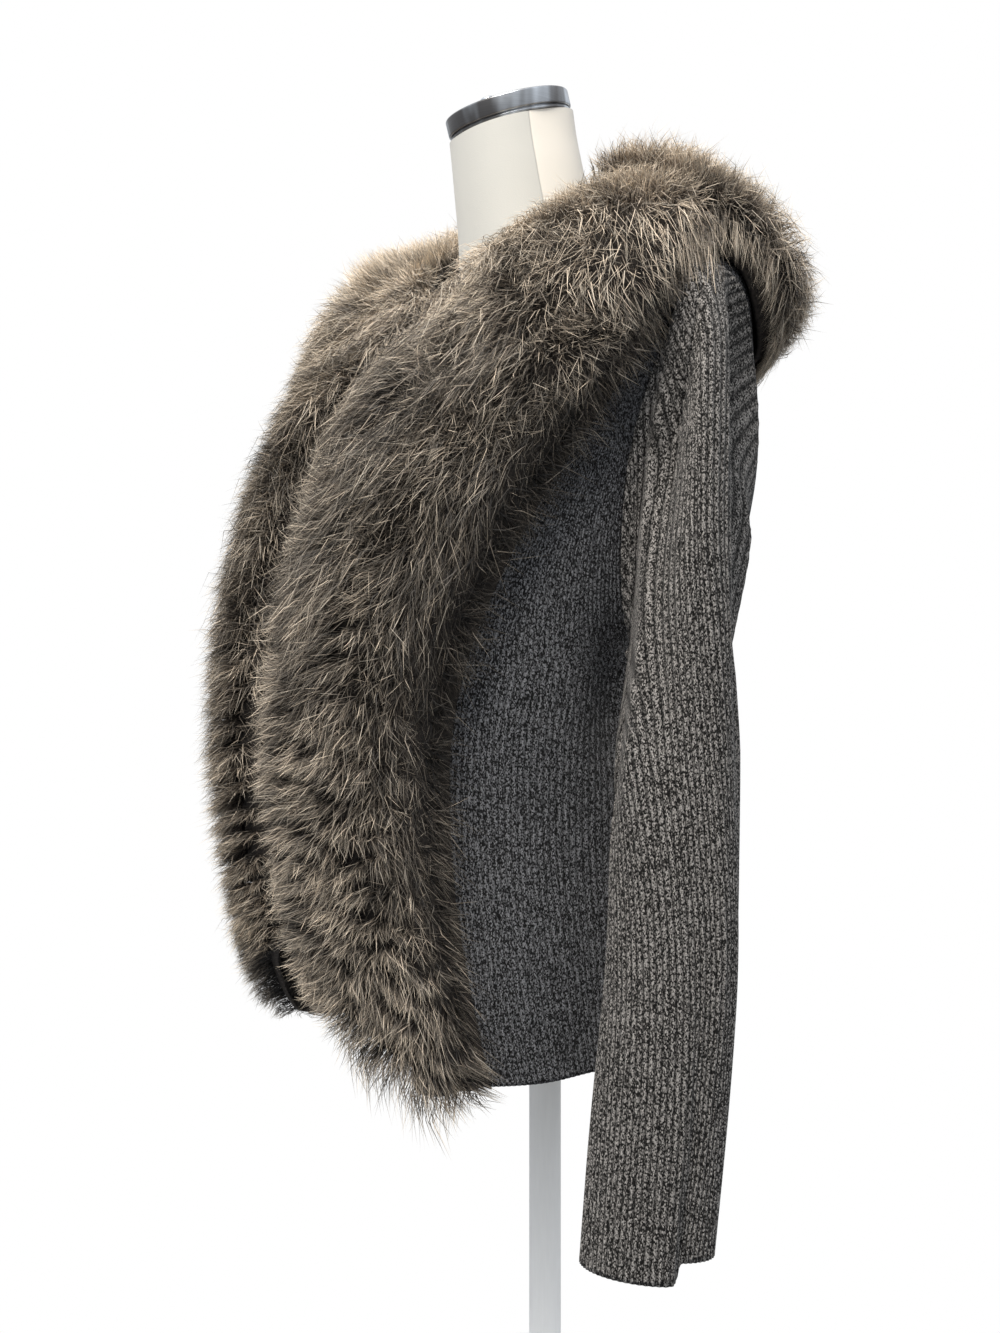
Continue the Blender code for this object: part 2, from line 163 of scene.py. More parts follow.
class Finish(Nodes):
    """A Principled material."""

    def __init__(self, name):
        self.material = bpy.data.materials.new(name)
        self.material.use_nodes = True
        super().__init__(self.material.node_tree)
        self.shader = self.tree.nodes["Principled BSDF"]

    def set(self, **values):
        for name, value in values.items():
            self.plug(self.shader.inputs[name.replace("_", " ")], value)
        return self


def fit(piece, slot, *nodes):
    """Ties a piece to the body and hides the solids that it stands for; its slot is not used."""
    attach(piece, "root")
    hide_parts(*nodes)
    return piece


SPIN_STEPS, MERGE_WITHIN, SHARP_ABOVE = 128, 1e-6, 40.0


def spun(name, profile, place, tilt, finish, steps=SPIN_STEPS):
    """A round piece, spun from (radius, height) points, tilted about X and put in its place."""
    mesh = bpy.data.meshes.new(name)
    edges = [(k, k + 1) for k in range(len(profile) - 1)]
    mesh.from_pydata([(radius, 0, height) for radius, height in profile], edges, [])
    piece = bpy.data.objects.new(name, mesh)
    bpy.context.scene.collection.objects.link(piece)
    bpy.ops.object.select_all(action="DESELECT")
    piece.select_set(True)
    bpy.context.view_layer.objects.active = piece
    bpy.ops.object.mode_set(mode="EDIT")
    bpy.ops.mesh.select_all(action="SELECT")
    bpy.ops.mesh.spin(steps=steps, angle=2 * math.pi, center=(0, 0, 0), axis=(0, 0, 1))
    bpy.ops.mesh.select_all(action="SELECT")
    bpy.ops.mesh.remove_doubles(threshold=MERGE_WITHIN)
    bpy.ops.mesh.normals_make_consistent(inside=False)
    bpy.ops.object.mode_set(mode="OBJECT")
    mesh.transform(Matrix.Translation(place) @ Matrix.Rotation(tilt, 4, "X"))
    mesh.materials.append(finish.material)
    bpy.ops.object.shade_smooth_by_angle(angle=math.radians(SHARP_ABOVE))
    return piece


def eased(radius, low, high, ease, steps=5):
    """A disc's or rod's profile with quarter-round rims."""
    turns = [math.pi / 2 * k / steps for k in range(steps + 1)]
    foot = [(radius - ease * (1 - math.sin(t)), low + ease * (1 - math.cos(t))) for t in turns]
    head = [(r, high - (h - low)) for r, h in reversed(foot)]
    return [(0, low), *foot, *head, (0, high)]


lacquer = Finish("white_lacquer")
peel = lacquer.node("TexNoise", {}, Scale=900.0, Detail=2.0)
wear = lacquer.node("TexNoise", {}, Scale=14.0, Detail=5.0)
lacquer.set(
    Base_Color=lacquer.blend((0.92, 0.92, 0.915), (0.95, 0.95, 0.945), wear.ramp(0.3, 0.7)),
    Roughness=0.28 + 0.12 * wear,
    Normal=lacquer.bump(peel, 0.0001, 0.25),
)

foot_low, foot_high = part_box("form_foot")
pole_low, pole_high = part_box("form_pole")
FOOT_EASE, POLE_EASE, POLE_STEPS = 0.0035, 0.0008, 64
foot = spun("foot", eased(foot_high.x, foot_low.z, foot_high.z, FOOT_EASE), (0, 0, 0), 0, lacquer)
pole_profile = eased(pole_high.x, pole_low.z, pole_high.z, POLE_EASE)
pole = spun("pole", pole_profile, (0, 0, 0), 0, lacquer, POLE_STEPS)
fit(foot, "stand", "form_foot")
fit(pole, "stand", "form_pole")

# Dress form
# A limbless torso and neck of foam under a tight cream cloth cover, sewn down both
# sides. The cloth in front of the seams is greyer than the cloth behind them.
SECTION_POWER = 0.85
FORM_RINGS = [
    # z_front z_side z_back half_width front back mid_y, underside to neck top
    (0.335, 0.335, 0.335, 0.117, 0.095, 0.084, 0.0),
    (0.380, 0.380, 0.380, 0.119, 0.101, 0.085, 0.0),
    (0.450, 0.450, 0.450, 0.106, 0.086, 0.070, 0.0),
    (0.530, 0.530, 0.530, 0.116, 0.098, 0.076, 0.0),
    (0.615, 0.615, 0.615, 0.131, 0.124, 0.086, 0.0),
    (0.680, 0.680, 0.680, 0.143, 0.114, 0.090, 0.0),
    (0.733, 0.731, 0.739, 0.155, 0.092, 0.085, 0.0),
    (0.766, 0.777, 0.784, 0.163, 0.076, 0.070, 0.0),
    (0.786, 0.810, 0.822, 0.114, 0.064, 0.056, 0.0),
    (0.804, 0.832, 0.845, 0.060, 0.052, 0.046, -0.006),
    (0.836, 0.848, 0.860, 0.046, 0.046, 0.044, -0.014),
    (0.884, 0.894, 0.905, 0.0415, 0.0415, 0.0415, -0.024),
    (0.908, 0.920, 0.932, 0.0405, 0.0405, 0.0405, -0.028),
]
FORM_COLUMNS, FORM_ROWS, FORM_SHARP_ABOVE = 120, 110, 50.0

# The cover's side seams, in degrees round from the middle of the back.
SEAM_TURN, SEAM_BLEND, SEAM_HALF = 103.0, 0.6, (0.2, 1.1)


def along(rows, place):
    """Rows' values at places, on smooth curves through them that run on below the first."""
    rows = np.asarray(rows, float)
    place = np.minimum(np.asarray(place, float), len(rows) - 1)
    start = np.clip(np.floor(place).astype(int), 0, len(rows) - 2)
    f = (place - start).reshape(place.shape + (1,) * (rows.ndim - 1))
    a, b, c, d = (rows[np.clip(start + k, 0, len(rows) - 1)] for k in (-1, 0, 1, 2))
    return 0.5 * (2 * b + f * (c - a) + f**2 * (2 * a - 5 * b + 4 * c - d) + f**3 * (3 * b - a - 3 * c + d))


def bent(value):
    """The section's power of a sine or cosine, which squares a round section a little."""
    return np.sign(value) * np.abs(value) ** SECTION_POWER


def on_rings(rings, place, angle):
    """Points of a body lofted through rings. Angles run from the front (0) by the left side to the back."""
    z_front, z_side, z_back, half_width, front, back, mid_y = np.moveaxis(along(rings, place), -1, 0)
    sine, cosine = bent(np.sin(np.radians(angle))), bent(np.cos(np.radians(angle)))
    ahead = cosine > 0
    y = mid_y - np.where(ahead, front, back) * cosine
    z = z_side + (np.where(ahead, z_front, z_back) - z_side) * np.abs(cosine)
    return np.stack(np.broadcast_arrays(half_width * sine, y, z), -1)


def mesh_piece(name, points, faces, finish, maps=None):
    """A smooth mesh object. Maps holds a UV pair for each face corner, by map name."""
    mesh = bpy.data.meshes.new(name)
    mesh.from_pydata(points.reshape(-1, 3).tolist(), [], faces)
    for title, pairs in (maps or {}).items():
        layer = mesh.uv_layers.new(name=title)
        layer.uv.foreach_set("vector", np.asarray(pairs, np.float32).ravel())
    mesh.shade_smooth()
    mesh.materials.append(finish.material)
    piece = bpy.data.objects.new(name, mesh)
    bpy.context.scene.collection.objects.link(piece)
    return piece


def quads(ids):
    """The faces of a grid of point numbers."""
    corners = ids[:-1, :-1], ids[:-1, 1:], ids[1:, 1:], ids[1:, :-1]
    return np.stack(corners, -1).reshape(-1, 4)


cover = Finish("cream_cover")
spot = cover.node("UVMap", {"uv_map": "Cover"})
turn_about = cover.node("SeparateXYZ", {}, spot)
from_back = (turn_about - 180.0).size()
behind = 1 - from_back.ramp(SEAM_TURN - SEAM_BLEND, SEAM_TURN + SEAM_BLEND)
seam_line = (from_back - SEAM_TURN).size().ramp(*SEAM_HALF)
at = cover.node("TexCoord", {}, output=3)
threads = cover.node("TexNoise", {}, at, Scale=1500.0, Detail=1.0)
soil = cover.node("TexNoise", {}, at, Scale=22.0, Detail=4.0)
shade = (0.86 + 0.14 * seam_line) * (0.96 + 0.07 * soil)
cloth = cover.blend((0.655, 0.650, 0.610), (0.915, 0.870, 0.790), behind)
cover.set(
    Base_Color=cover.shaded(cloth, shade),
    Roughness=0.85,
    Sheen_Weight=0.15,
    Normal=cover.bump(threads * 0.4 + seam_line, 0.0005, 0.5),
)

form_angles = np.linspace(0, 360, FORM_COLUMNS + 1)
form_places = np.linspace(0, len(FORM_RINGS) - 1, FORM_ROWS)
form_points = on_rings(FORM_RINGS, form_places[:, None], form_angles[None, :-1])
form_ids = np.arange(FORM_ROWS * FORM_COLUMNS).reshape(FORM_ROWS, FORM_COLUMNS)
around = np.concatenate([form_ids, form_ids[:, :1]], 1)
spots = np.stack(np.broadcast_arrays(form_angles[None, :], form_places[:, None]), -1).reshape(-1, 2)
form_map = spots[quads(np.arange(len(spots)).reshape(around.shape))].reshape(-1, 2)
ends_map = np.concatenate([spots[:FORM_COLUMNS], spots[:FORM_COLUMNS]])
form_faces = quads(around).tolist() + [form_ids[0][::-1].tolist(), form_ids[-1].tolist()]
form = mesh_piece("form", form_points, form_faces, cover, {"Cover": np.concatenate([form_map, ends_map])})
form.data.set_sharp_from_angle(angle=math.radians(FORM_SHARP_ABOVE))
fit(form, "cover", "form_torso")

# Neck cap
# A turned cap of dark satin metal closes the neck, with a narrow lip below a groove.
# It leans forward with the neck, and a small knob stands on it ahead of its middle.
CAP_RADIUS, CAP_HEIGHT, CAP_EASE = 0.043, 0.014, 0.0013
LIP_RADIUS, LIP_HEIGHT, GROOVE_RADIUS, GROOVE_HEIGHT = 0.0418, 0.0020, 0.0408, 0.0006
KNOB_RADIUS, KNOB_HEIGHT, KNOB_EASE, KNOB_AHEAD, KNOB_STEPS = 0.005, 0.007, 0.0016, 0.014, 40
SEAM_GAP = 0.0003

metal = Finish("dark_satin_metal")
at = metal.node("TexCoord", {}, output=3)
lines = metal.node("Mapping", {}, at, Scale=(60.0, 60.0, 2600.0))
brushing = metal.node("TexNoise", {}, lines, Scale=1.0, Detail=3.0)
smudge = metal.node("TexNoise", {}, at, Scale=35.0, Detail=3.0)
# Painted reflections: pale bluish upright streaks on the cap's sides are put into the base colour, and
# surfaces facing up keep the dark metal.
upright = metal.node("Mapping", {}, at, Scale=(62.0, 62.0, 3.0))
painted_reflection = metal.node("TexNoise", {}, upright, Scale=1.0, Detail=2.0)
facing_up = metal.node("SeparateXYZ", {}, metal.node("TexCoord", {}, output=1), output=2)
painted_reflections = painted_reflection.ramp(0.36, 0.68) * (1 - facing_up.ramp(0.5, 0.9))
metal_and_reflections = metal.blend((0.16, 0.155, 0.155), (0.70, 0.74, 0.79), painted_reflections)
metal.set(
    Base_Color=metal.shaded(metal_and_reflections, 0.8 + 0.4 * brushing),
    Metallic=1.0,
    Roughness=0.24 + 0.16 * smudge,
    Normal=metal.bump(brushing, 0.0002, 0.3),
)

z_front, z_side, z_back, half_width, front, back, mid_y = FORM_RINGS[-1]
cap_tilt = math.atan2(z_back - z_front, front + back)
cap_up = Vector((0, -math.sin(cap_tilt), math.cos(cap_tilt)))
cap_ahead = Vector((0, -math.cos(cap_tilt), -math.sin(cap_tilt)))
cap_seat = Vector((0, mid_y, z_side)) + cap_up * SEAM_GAP
knob_seat = cap_seat + cap_up * (CAP_HEIGHT + SEAM_GAP) + cap_ahead * KNOB_AHEAD
lip = eased(LIP_RADIUS, 0, LIP_HEIGHT, LIP_HEIGHT / 3)[:-1]
disc_low = LIP_HEIGHT + GROOVE_HEIGHT
disc = eased(CAP_RADIUS, disc_low, CAP_HEIGHT, CAP_EASE)[1:]
groove = [(GROOVE_RADIUS, LIP_HEIGHT), (GROOVE_RADIUS, disc_low)]
cap = spun("neck_cap", lip + groove + disc, cap_seat, cap_tilt, metal)
knob_profile = eased(KNOB_RADIUS, 0, KNOB_HEIGHT, KNOB_EASE)
knob = spun("cap_knob", knob_profile, knob_seat, cap_tilt, metal, KNOB_STEPS)
fit(cap, "cap_metal", "form_neck_cap")
fit(knob, "cap_metal", "form_cap_knob")

# Jacket back
# A rib-knit panel of charcoal melange wool from hem to back neck, sewn to the fronts at
# the sides and shoulders and cut away at the armholes. Its ribs stand up on a plain inside.
KNIT_WALL, RIB_HEIGHT, RIB_ROUND = 0.0025, 0.0008, 0.8
BACK_RIBS, BACK_ROWS = 102, 84
RIB_STEPS, INSIDE_STEP = 4, 4
STITCH_HEIGHT, FLECKS = 0.0013, 1500.0
JACKET_RINGS = [
    # z_front z_side z_back half_width front back mid_y, hem to neck, at the cloth's inside
    (0.300, 0.297, 0.297, 0.135, 0.150, 0.100, 0.0),
    (0.370, 0.370, 0.370, 0.132, 0.165, 0.096, 0.0),
    (0.450, 0.450, 0.450, 0.128, 0.174, 0.084, 0.0),
    (0.530, 0.530, 0.530, 0.134, 0.175, 0.088, 0.0),
    (0.610, 0.610, 0.610, 0.143, 0.164, 0.096, 0.0),
    (0.680, 0.680, 0.680, 0.153, 0.138, 0.099, 0.0),
    (0.738, 0.736, 0.745, 0.164, 0.108, 0.094, 0.0),
    (0.774, 0.785, 0.794, 0.171, 0.090, 0.080, 0.0),
    (0.796, 0.820, 0.834, 0.124, 0.079, 0.066, 0.0),
    (0.812, 0.850, 0.868, 0.062, 0.068, 0.052, 0.0),
]
NECK = len(JACKET_RINGS) - 1
ARMHOLE_FOOT, ARMHOLE_TOP = 3.25, 6.95
ARMHOLE_FRONT, ARMHOLE_BACK = 13.0, 26.0

# Troughs have a depth below zero. A slant is in degrees round the body for each ring up.
Crease = namedtuple("Crease", "place angle length width depth slant")
BODY_CREASES = [
    Crease(0.6, 150, 1.6, 9, 0.0045, -2),
    Crease(0.3, 171, 1.3, 7, -0.0035, 2),
    Crease(0.8, 196, 1.9, 10, 0.0040, 3),
    Crease(0.4, 219, 1.2, 8, -0.0035, -3),
    Crease(2.3, 133, 0.5, 22, -0.0030, 34),
    Crease(2.9, 226, 0.5, 24, -0.0028, -30),
    Crease(3.7, 128, 0.8, 9, -0.0035, 14),
    Crease(3.9, 233, 0.9, 8, -0.0035, -12),
    Crease(0.2, 74, 1.1, 7, -0.0025, 2),
    Crease(0.7, 60, 1.4, 6, 0.0018, -2),
    Crease(2.9, 76, 0.7, 6, -0.0022, -9),
    Crease(3.0, 82, 0.60, 6, -0.0145, -4),
    Crease(5.0, 124, 1.1, 15, 0.0100, 0),
    Crease(0.3, 286, 1.2, 7, -0.0025, -2),
    Crease(0.6, 300, 1.3, 6, 0.0018, 3),
    Crease(2.8, 283, 0.7, 6, -0.0022, 8),
]
HEM_RISES = [Crease(0.0, 88, 0.9, 28, 0.011, 0), Crease(0.0, 272, 0.9, 28, 0.011, 0)]


def creased(creases, place, angle):
    """How far soft creases move the cloth at places and angles."""
    out = 0.0
    for crease in creases:
        up = place - crease.place
        across = (angle - crease.angle - crease.slant * up + 180) % 360 - 180
        out = out + crease.depth * np.exp(-((up / crease.length) ** 2) - (across / crease.width) ** 2)
    return out


def jacket(place, angle):
    return on_rings(JACKET_RINGS, place, angle)


def normals_at(surface, place, angle):
    """The outward directions of a surface of places and angles."""
    step_place, step_angle = 0.04, 0.6
    place = np.minimum(place, NECK)
    across = surface(place, angle + step_angle) - surface(place, angle - step_angle)
    on = surface(place + step_place, angle) - surface(place - step_place, angle)
    out = np.cross(across, on)
    return out / np.linalg.norm(out, axis=-1, keepdims=True)


def body_cloth(place, angle):
    """The inside of the body's cloth with its creases. The hem draws up a little at the side seams."""
    out = creased(BODY_CREASES, place, angle)
    cloth = jacket(place, angle) + normals_at(jacket, place, angle) * out[..., None]
    cloth[..., 2] += creased(HEM_RISES, place, angle)
    return cloth


def armhole_opening(place):
    """How far the armhole is open at a place, from 0 at its ends to 1 at its middle."""
    middle, half = (ARMHOLE_TOP + ARMHOLE_FOOT) / 2, (ARMHOLE_TOP - ARMHOLE_FOOT) / 2
    return np.sqrt(np.maximum(0.0, 1 - ((place - middle) / half) ** 2))


def grid_normals(grid, tube):
    """The outward directions of a grid whose columns run round and whose rows run up or down."""
    if tube:
        across = np.roll(grid, -1, 1) - np.roll(grid, 1, 1)
    else:
        across = np.gradient(grid, axis=1)
    out = np.cross(across, np.gradient(grid, axis=0))
    return out / np.maximum(np.linalg.norm(out, axis=-1, keepdims=True), 1e-12)


def zipped(first, second):
    """Triangles between two rows of corner numbers of unlike counts."""
    faces = []
    i = j = 0
    while i < len(first) - 1 or j < len(second) - 1:
        ahead = (i + 1) / (len(first) - 1) <= (j + 1) / (len(second) - 1)
        if ahead and i < len(first) - 1 or j == len(second) - 1:
            faces.append((first[i], first[i + 1], second[j]))
            i += 1
        else:
            faces.append((first[i], second[j + 1], second[j]))
            j += 1
    return faces


def shell(name, outer, inner, outer_map, inner_map, tube, finish, mirror=False):
    """A closed wall between an outer and an inner grid. Its map gives each corner's place in the knit."""
    corners, maps, start = [], [], 0
    for grid, pairs in ((outer, outer_map), (inner, inner_map)):
        ids = start + np.arange(grid.shape[0] * grid.shape[1]).reshape(grid.shape[:2])
        start += ids.size
        corners.append(np.concatenate([ids, ids[:, :1]], 1) if tube else ids)
        maps.append(pairs.reshape(-1, 2))
    point_of = np.concatenate([ids.ravel() for ids in corners])
    outside = np.arange(corners[0].size).reshape(corners[0].shape)
    inside = corners[0].size + np.arange(corners[1].size).reshape(corners[1].shape)
    fours = np.concatenate([quads(outside), quads(inside)[:, ::-1]])
    threes = zipped(outside[0][::-1].tolist(), inside[0][::-1].tolist())
    threes += zipped(outside[-1].tolist(), inside[-1].tolist())
    if not tube:
        threes += zipped(outside[:, 0].tolist(), inside[:, 0].tolist())
        threes += zipped(outside[::-1, -1].tolist(), inside[::-1, -1].tolist())
    threes = np.array(threes)
    points = np.concatenate([outer.reshape(-1, 3), inner.reshape(-1, 3)])
    if mirror:
        points = points * (-1, 1, 1)
        fours, threes = fours[:, ::-1], threes[:, ::-1]
    faces = point_of[fours].tolist() + point_of[threes].tolist()
    pairs = np.concatenate(maps)[np.concatenate([fours.ravel(), threes.ravel()])]
    return mesh_piece(name, points, faces, finish, {"Stitches": pairs})


def knit_shell(name, inside, finish, tube=False, mirror=False):
    """A knitted wall on the grid of its inside, with a rounded rib at every RIB_STEPS columns."""
    out = grid_normals(inside, tube)
    columns = np.arange(inside.shape[1] + tube) / RIB_STEPS
    ridge = (0.5 - 0.5 * np.cos(2 * np.pi * columns[: inside.shape[1]])) ** RIB_ROUND
    outer = inside + out * (KNIT_WALL + RIB_HEIGHT * ridge)[None, :, None]
    steps = np.linalg.norm(np.diff(inside, axis=0), axis=-1).mean(1)
    stitches = np.concatenate([[0], np.cumsum(steps)]) / STITCH_HEIGHT
    pairs = np.stack(np.broadcast_arrays(columns[None, :], stitches[:, None]), -1)
    coarse_rows = np.unique(np.append(np.arange(0, len(inside), INSIDE_STEP), len(inside) - 1))
    plain = inside[coarse_rows][:, ::RIB_STEPS]
    return shell(name, outer, plain, pairs, pairs[coarse_rows][:, ::RIB_STEPS], tube, finish, mirror)


def cloth_area(grid, tube):
    """The area of a grid of cloth."""
    closed = np.concatenate([grid, grid[:, :1]], 1) if tube else grid
    sides = np.cross(closed[:-1, 1:] - closed[:-1, :-1], closed[1:, :-1] - closed[:-1, :-1])
    return float(np.linalg.norm(sides, axis=-1).sum())


def melange(name, dark, light, groove_shade):
    """Two-tone wool in rib stitch: each fleck has its own tone, and shade is painted into the grooves and
    round each stitch's edge.
    """
    finish = Finish(name)
    ribs = finish.node("SeparateXYZ", {}, finish.node("UVMap", {"uv_map": "Stitches"}))
    at = finish.node("Mapping", {}, finish.node("TexCoord", {}, output=3), Scale=(1.0, 1.0, 0.62))
    far = finish.node("TexVoronoi", {}, at, Scale=FLECKS, Randomness=0.9)
    tint = finish.node("TexVoronoi", {}, at, Scale=FLECKS, Randomness=0.9, output=1)
    tone = finish.node("SeparateXYZ", {}, tint)
    fibre = finish.node("TexNoise", {}, at, Scale=FLECKS * 1.5, Detail=2.0)
    patch = finish.node("TexNoise", {}, at, Scale=FLECKS / 18, Detail=3.0)
    dome = 1 - far.ramp(0.15, 0.75)
    ridge = 1 - ((ribs - ribs.floor()) * 2 - 1).size() ** 1.9
    pale = (tone * 0.8 + fibre * 0.7 + (patch - 0.5) * 0.2).ramp(0.60, 1.00)
    # Painted shade: the colour is darkened in the rib grooves and towards the edge of each stitch's dome.
    depth = (1 - groove_shade + groove_shade * ridge) * (0.5 + 0.5 * dome)
    finish.set(
        Base_Color=finish.shaded(finish.blend(dark, light, pale), depth),
        Roughness=0.92,
        Specular_IOR_Level=0.2,
        Sheen_Weight=0.08,
        Normal=finish.bump(dome + 0.5 * fibre, 0.0004, 0.7),
    )
    return finish


# The body's copy of the knit is darker and cooler than the sleeves': painted shade.
shaded_body_knit = melange("shaded_body_melange_knit", (0.009, 0.009, 0.010), (0.328, 0.331, 0.348), 0.68)


def back_edge(place):
    return 90 + ARMHOLE_BACK * armhole_opening(place)


back_places = np.linspace(0, NECK, BACK_ROWS)[:, None]
back_share = np.linspace(0, 1, BACK_RIBS * RIB_STEPS + 1)[None, :]
back_start = back_edge(back_places)
back_inside = body_cloth(back_places, back_start + (360 - 2 * back_start) * back_share)
back = knit_shell("knit_back", back_inside, shaded_body_knit)
fit(back, "knit", "jacket_back")
cloth_area(back_inside, False)

# Side fronts
# A narrow rib-knit panel runs up each side from the hem to the shoulder, between the side
# seam and armhole and the fur front that is sewn to it. The right one mirrors the left.
FRONT_RIBS, FRONT_ROWS, SHOULDER_SEAM = 33, 90, 89.9
Station = namedtuple("Station", "inner_place inner_angle outer_place outer_angle side_place height fall")
FRONT_STATIONS = [
    Station(1.00, 2.0, 0.00, 46.0, 0.00, 0.043, 0.0),
    Station(1.62, 2.0, 1.00, 44.0, 1.00, 0.050, 0.0),
    Station(2.36, 2.0, 2.00, 43.0, 2.00, 0.056, 0.0),
    Station(3.22, 2.0, 3.00, 44.0, 3.00, 0.057, 0.0),
    Station(4.15, 2.0, 4.00, 51.0, 3.90, 0.054, 0.0),
    Station(5.20, 2.0, 5.00, 60.0, 4.80, 0.051, 0.0),
    Station(6.50, 2.0, 5.90, 69.0, 5.60, 0.050, 0.6),
    Station(8.30, 5.0, 6.50, 75.0, 6.20, 0.050, 1.0),
    Station(9.00, 42.0, 6.95, 82.0, 6.70, 0.050, 1.0),
    Station(9.00, 90.0, 7.25, 90.0, 6.95, 0.050, 0.6),
]
FRONT_TOP = len(FRONT_STATIONS) - 1


def front_station(station):
    """The columns of the fronts' table at stations."""
    return Station(*np.moveaxis(along(FRONT_STATIONS, station), -1, 0))


def mix(a, b, share):
    return a + (b - a) * share


sewn = front_station(np.linspace(0, FRONT_TOP, FRONT_ROWS)[:, None])
side_angle = 90 - ARMHOLE_FRONT * armhole_opening(sewn.side_place)
front_share = np.linspace(0, 1, FRONT_RIBS * RIB_STEPS + 1)[None, :]
front_inside = body_cloth(
    mix(sewn.outer_place, sewn.side_place, front_share),
    mix(np.minimum(sewn.outer_angle, SHOULDER_SEAM), side_angle, front_share),
)
for side in ("left", "right"):
    panel = knit_shell(f"knit_front_{side}", front_inside, shaded_body_knit, mirror=side == "right")
    fit(panel, "knit", f"jacket_front_{side}")
    cloth_area(front_inside, False)

# Sleeves
# Long set-in tubes of the same rib knit, sewn into the armholes and hanging empty. The top
# falls in a narrow bar with hollows beside it, and the plain cuff folds in a crease.
SLEEVE_RIBS, SLEEVE_ROWS = 64, 130
SLEEVE_LIFT = 0.0022
SleeveRing = namedtuple(
    "SleeveRing",
    "outer_x outer_y outer_z inner_x inner_y inner_z half_depth bar_half sink crease crease_angle",
)
SLEEVE_RINGS = [
    SleeveRing(0.187, -0.014, 0.780, 0.151, -0.004, 0.536, 0.046, 0.020, 0.004, 0.00, 30.0),
    SleeveRing(0.198, -0.014, 0.744, 0.153, -0.006, 0.520, 0.049, 0.012, 0.013, 0.00, 30.0),
    SleeveRing(0.207, -0.021, 0.690, 0.155, -0.016, 0.503, 0.045, 0.014, 0.018, 0.00, 30.0),
    SleeveRing(0.213, -0.026, 0.622, 0.156, -0.030, 0.482, 0.040, 0.019, 0.014, 0.00, 30.0),
    SleeveRing(0.217, -0.023, 0.546, 0.157, -0.043, 0.452, 0.034, 0.026, 0.005, 0.01, 36.0),
    SleeveRing(0.219, -0.020, 0.465, 0.159, -0.054, 0.412, 0.028, 0.060, 0.000, 0.02, 42.0),
    SleeveRing(0.220, -0.019, 0.385, 0.162, -0.065, 0.358, 0.025, 0.200, 0.000, 0.05, 52.0),
    SleeveRing(0.220, -0.025, 0.300, 0.165, -0.077, 0.288, 0.023, 0.200, 0.000, 0.14, 50.0),
    SleeveRing(0.219, -0.034, 0.212, 0.167, -0.086, 0.214, 0.022, 0.200, 0.000, 0.30, 53.0),
]
CUFF = len(SLEEVE_RINGS)
BAR_FOOT, BAR_END = 60.0, 95.0
SINK_ANGLE, SINK_SPREAD, BACK_SINK_SHARE = 78.0, 24.0, 0.3
CREASE_FRONT_SPREAD, CREASE_BACK_SPREAD = 9.0, 42.0
SEAM_UP, SEAM_FRONT, SEAM_BACK = 0.04, 0.9, 1.2
RIGHT_SWING, RIGHT_TUCK = 0.080, 0.020

# The cuff rises behind its crease. Each pair is where the rise starts and its run, in degrees or rings.
CUFF_RISE, RISE_CREASE, RISE_BACK, RISE_RINGS = 0.0095, (51.0, 9.0), (-150.0, 70.0), (7.0, 2.0)

# The bar faces out and a little forward. Beside it the cloth sinks by a share of the way to the seam's
# depth, and draws in to a share of its width.
BarRow = namedtuple("BarRow", "height middle half front_sink back_sink front_share back_share fold")
BAR_ROWS = [
    BarRow(0.420, 0.0680, 0.0330, 0.00, 0.00, 1.00, 1.00, 0.0000),
    BarRow(0.503, 0.0696, 0.0290, 0.45, 0.06, 0.10, 1.00, 0.0000),
    BarRow(0.563, 0.0732, 0.0248, 0.85, 0.22, 0.00, 0.70, 0.0000),
    BarRow(0.640, 0.0756, 0.0217, 0.92, 0.30, 0.45, 0.95, 0.0018),
    BarRow(0.690, 0.0788, 0.0187, 0.95, 0.38, 0.90, 1.00, 0.0025),
    BarRow(0.735, 0.0821, 0.0157, 0.95, 0.42, 1.00, 1.00, 0.0025),
    BarRow(0.785, 0.0860, 0.0145, 0.60, 0.38, 1.00, 1.00, 0.0020),
]
BAR_OUT, BAR_ASIDE = np.array((0.85, -0.53, 0)), np.array((0.53, 0.85, 0))
BAR_EDGE, BAR_START, BAR_SIDES = 0.004, 0.8, (110.0, 50.0)
FOLD_ASIDE, FOLD_SLANT, FOLD_LEVEL, FOLD_HALF = 0.0045, 0.05, 0.69, 0.0014
VALLEY_SHARE, VALLEY_ASIDE, VALLEY_HALF = 0.6, 0.005, 0.0045
SLEEVE_CREASES = [
    Crease(2.2, 5, 2.2, 11, 0.0022, 1),
    Crease(4.6, 20, 1.2, 12, -0.0016, 3),
    Crease(5.9, -12, 1.6, 13, -0.0018, -4),
    Crease(6.6, 24, 1.5, 10, 0.0016, 4),
    Crease(4.3, 150, 0.7, 22, -0.0025, 20),
    Crease(5.0, 205, 0.6, 24, -0.0030, -22),
    Crease(5.7, 170, 0.6, 26, 0.0022, 18),
    Crease(7.3, -60, 1.3, 14, -0.0016, 5),
    Crease(7.9, 215, 1.1, 12, -0.0016, -6),
]


def hump(difference, spread):
    return np.exp(-((difference / spread) ** 2))


def smooth_step(value, start=0.0, run=1.0):
    """0 up to a start and 1 past a run from it, with soft ends."""
    value = np.clip((value - start) / run, 0.0, 1.0)
    return value * value * (3 - 2 * value)


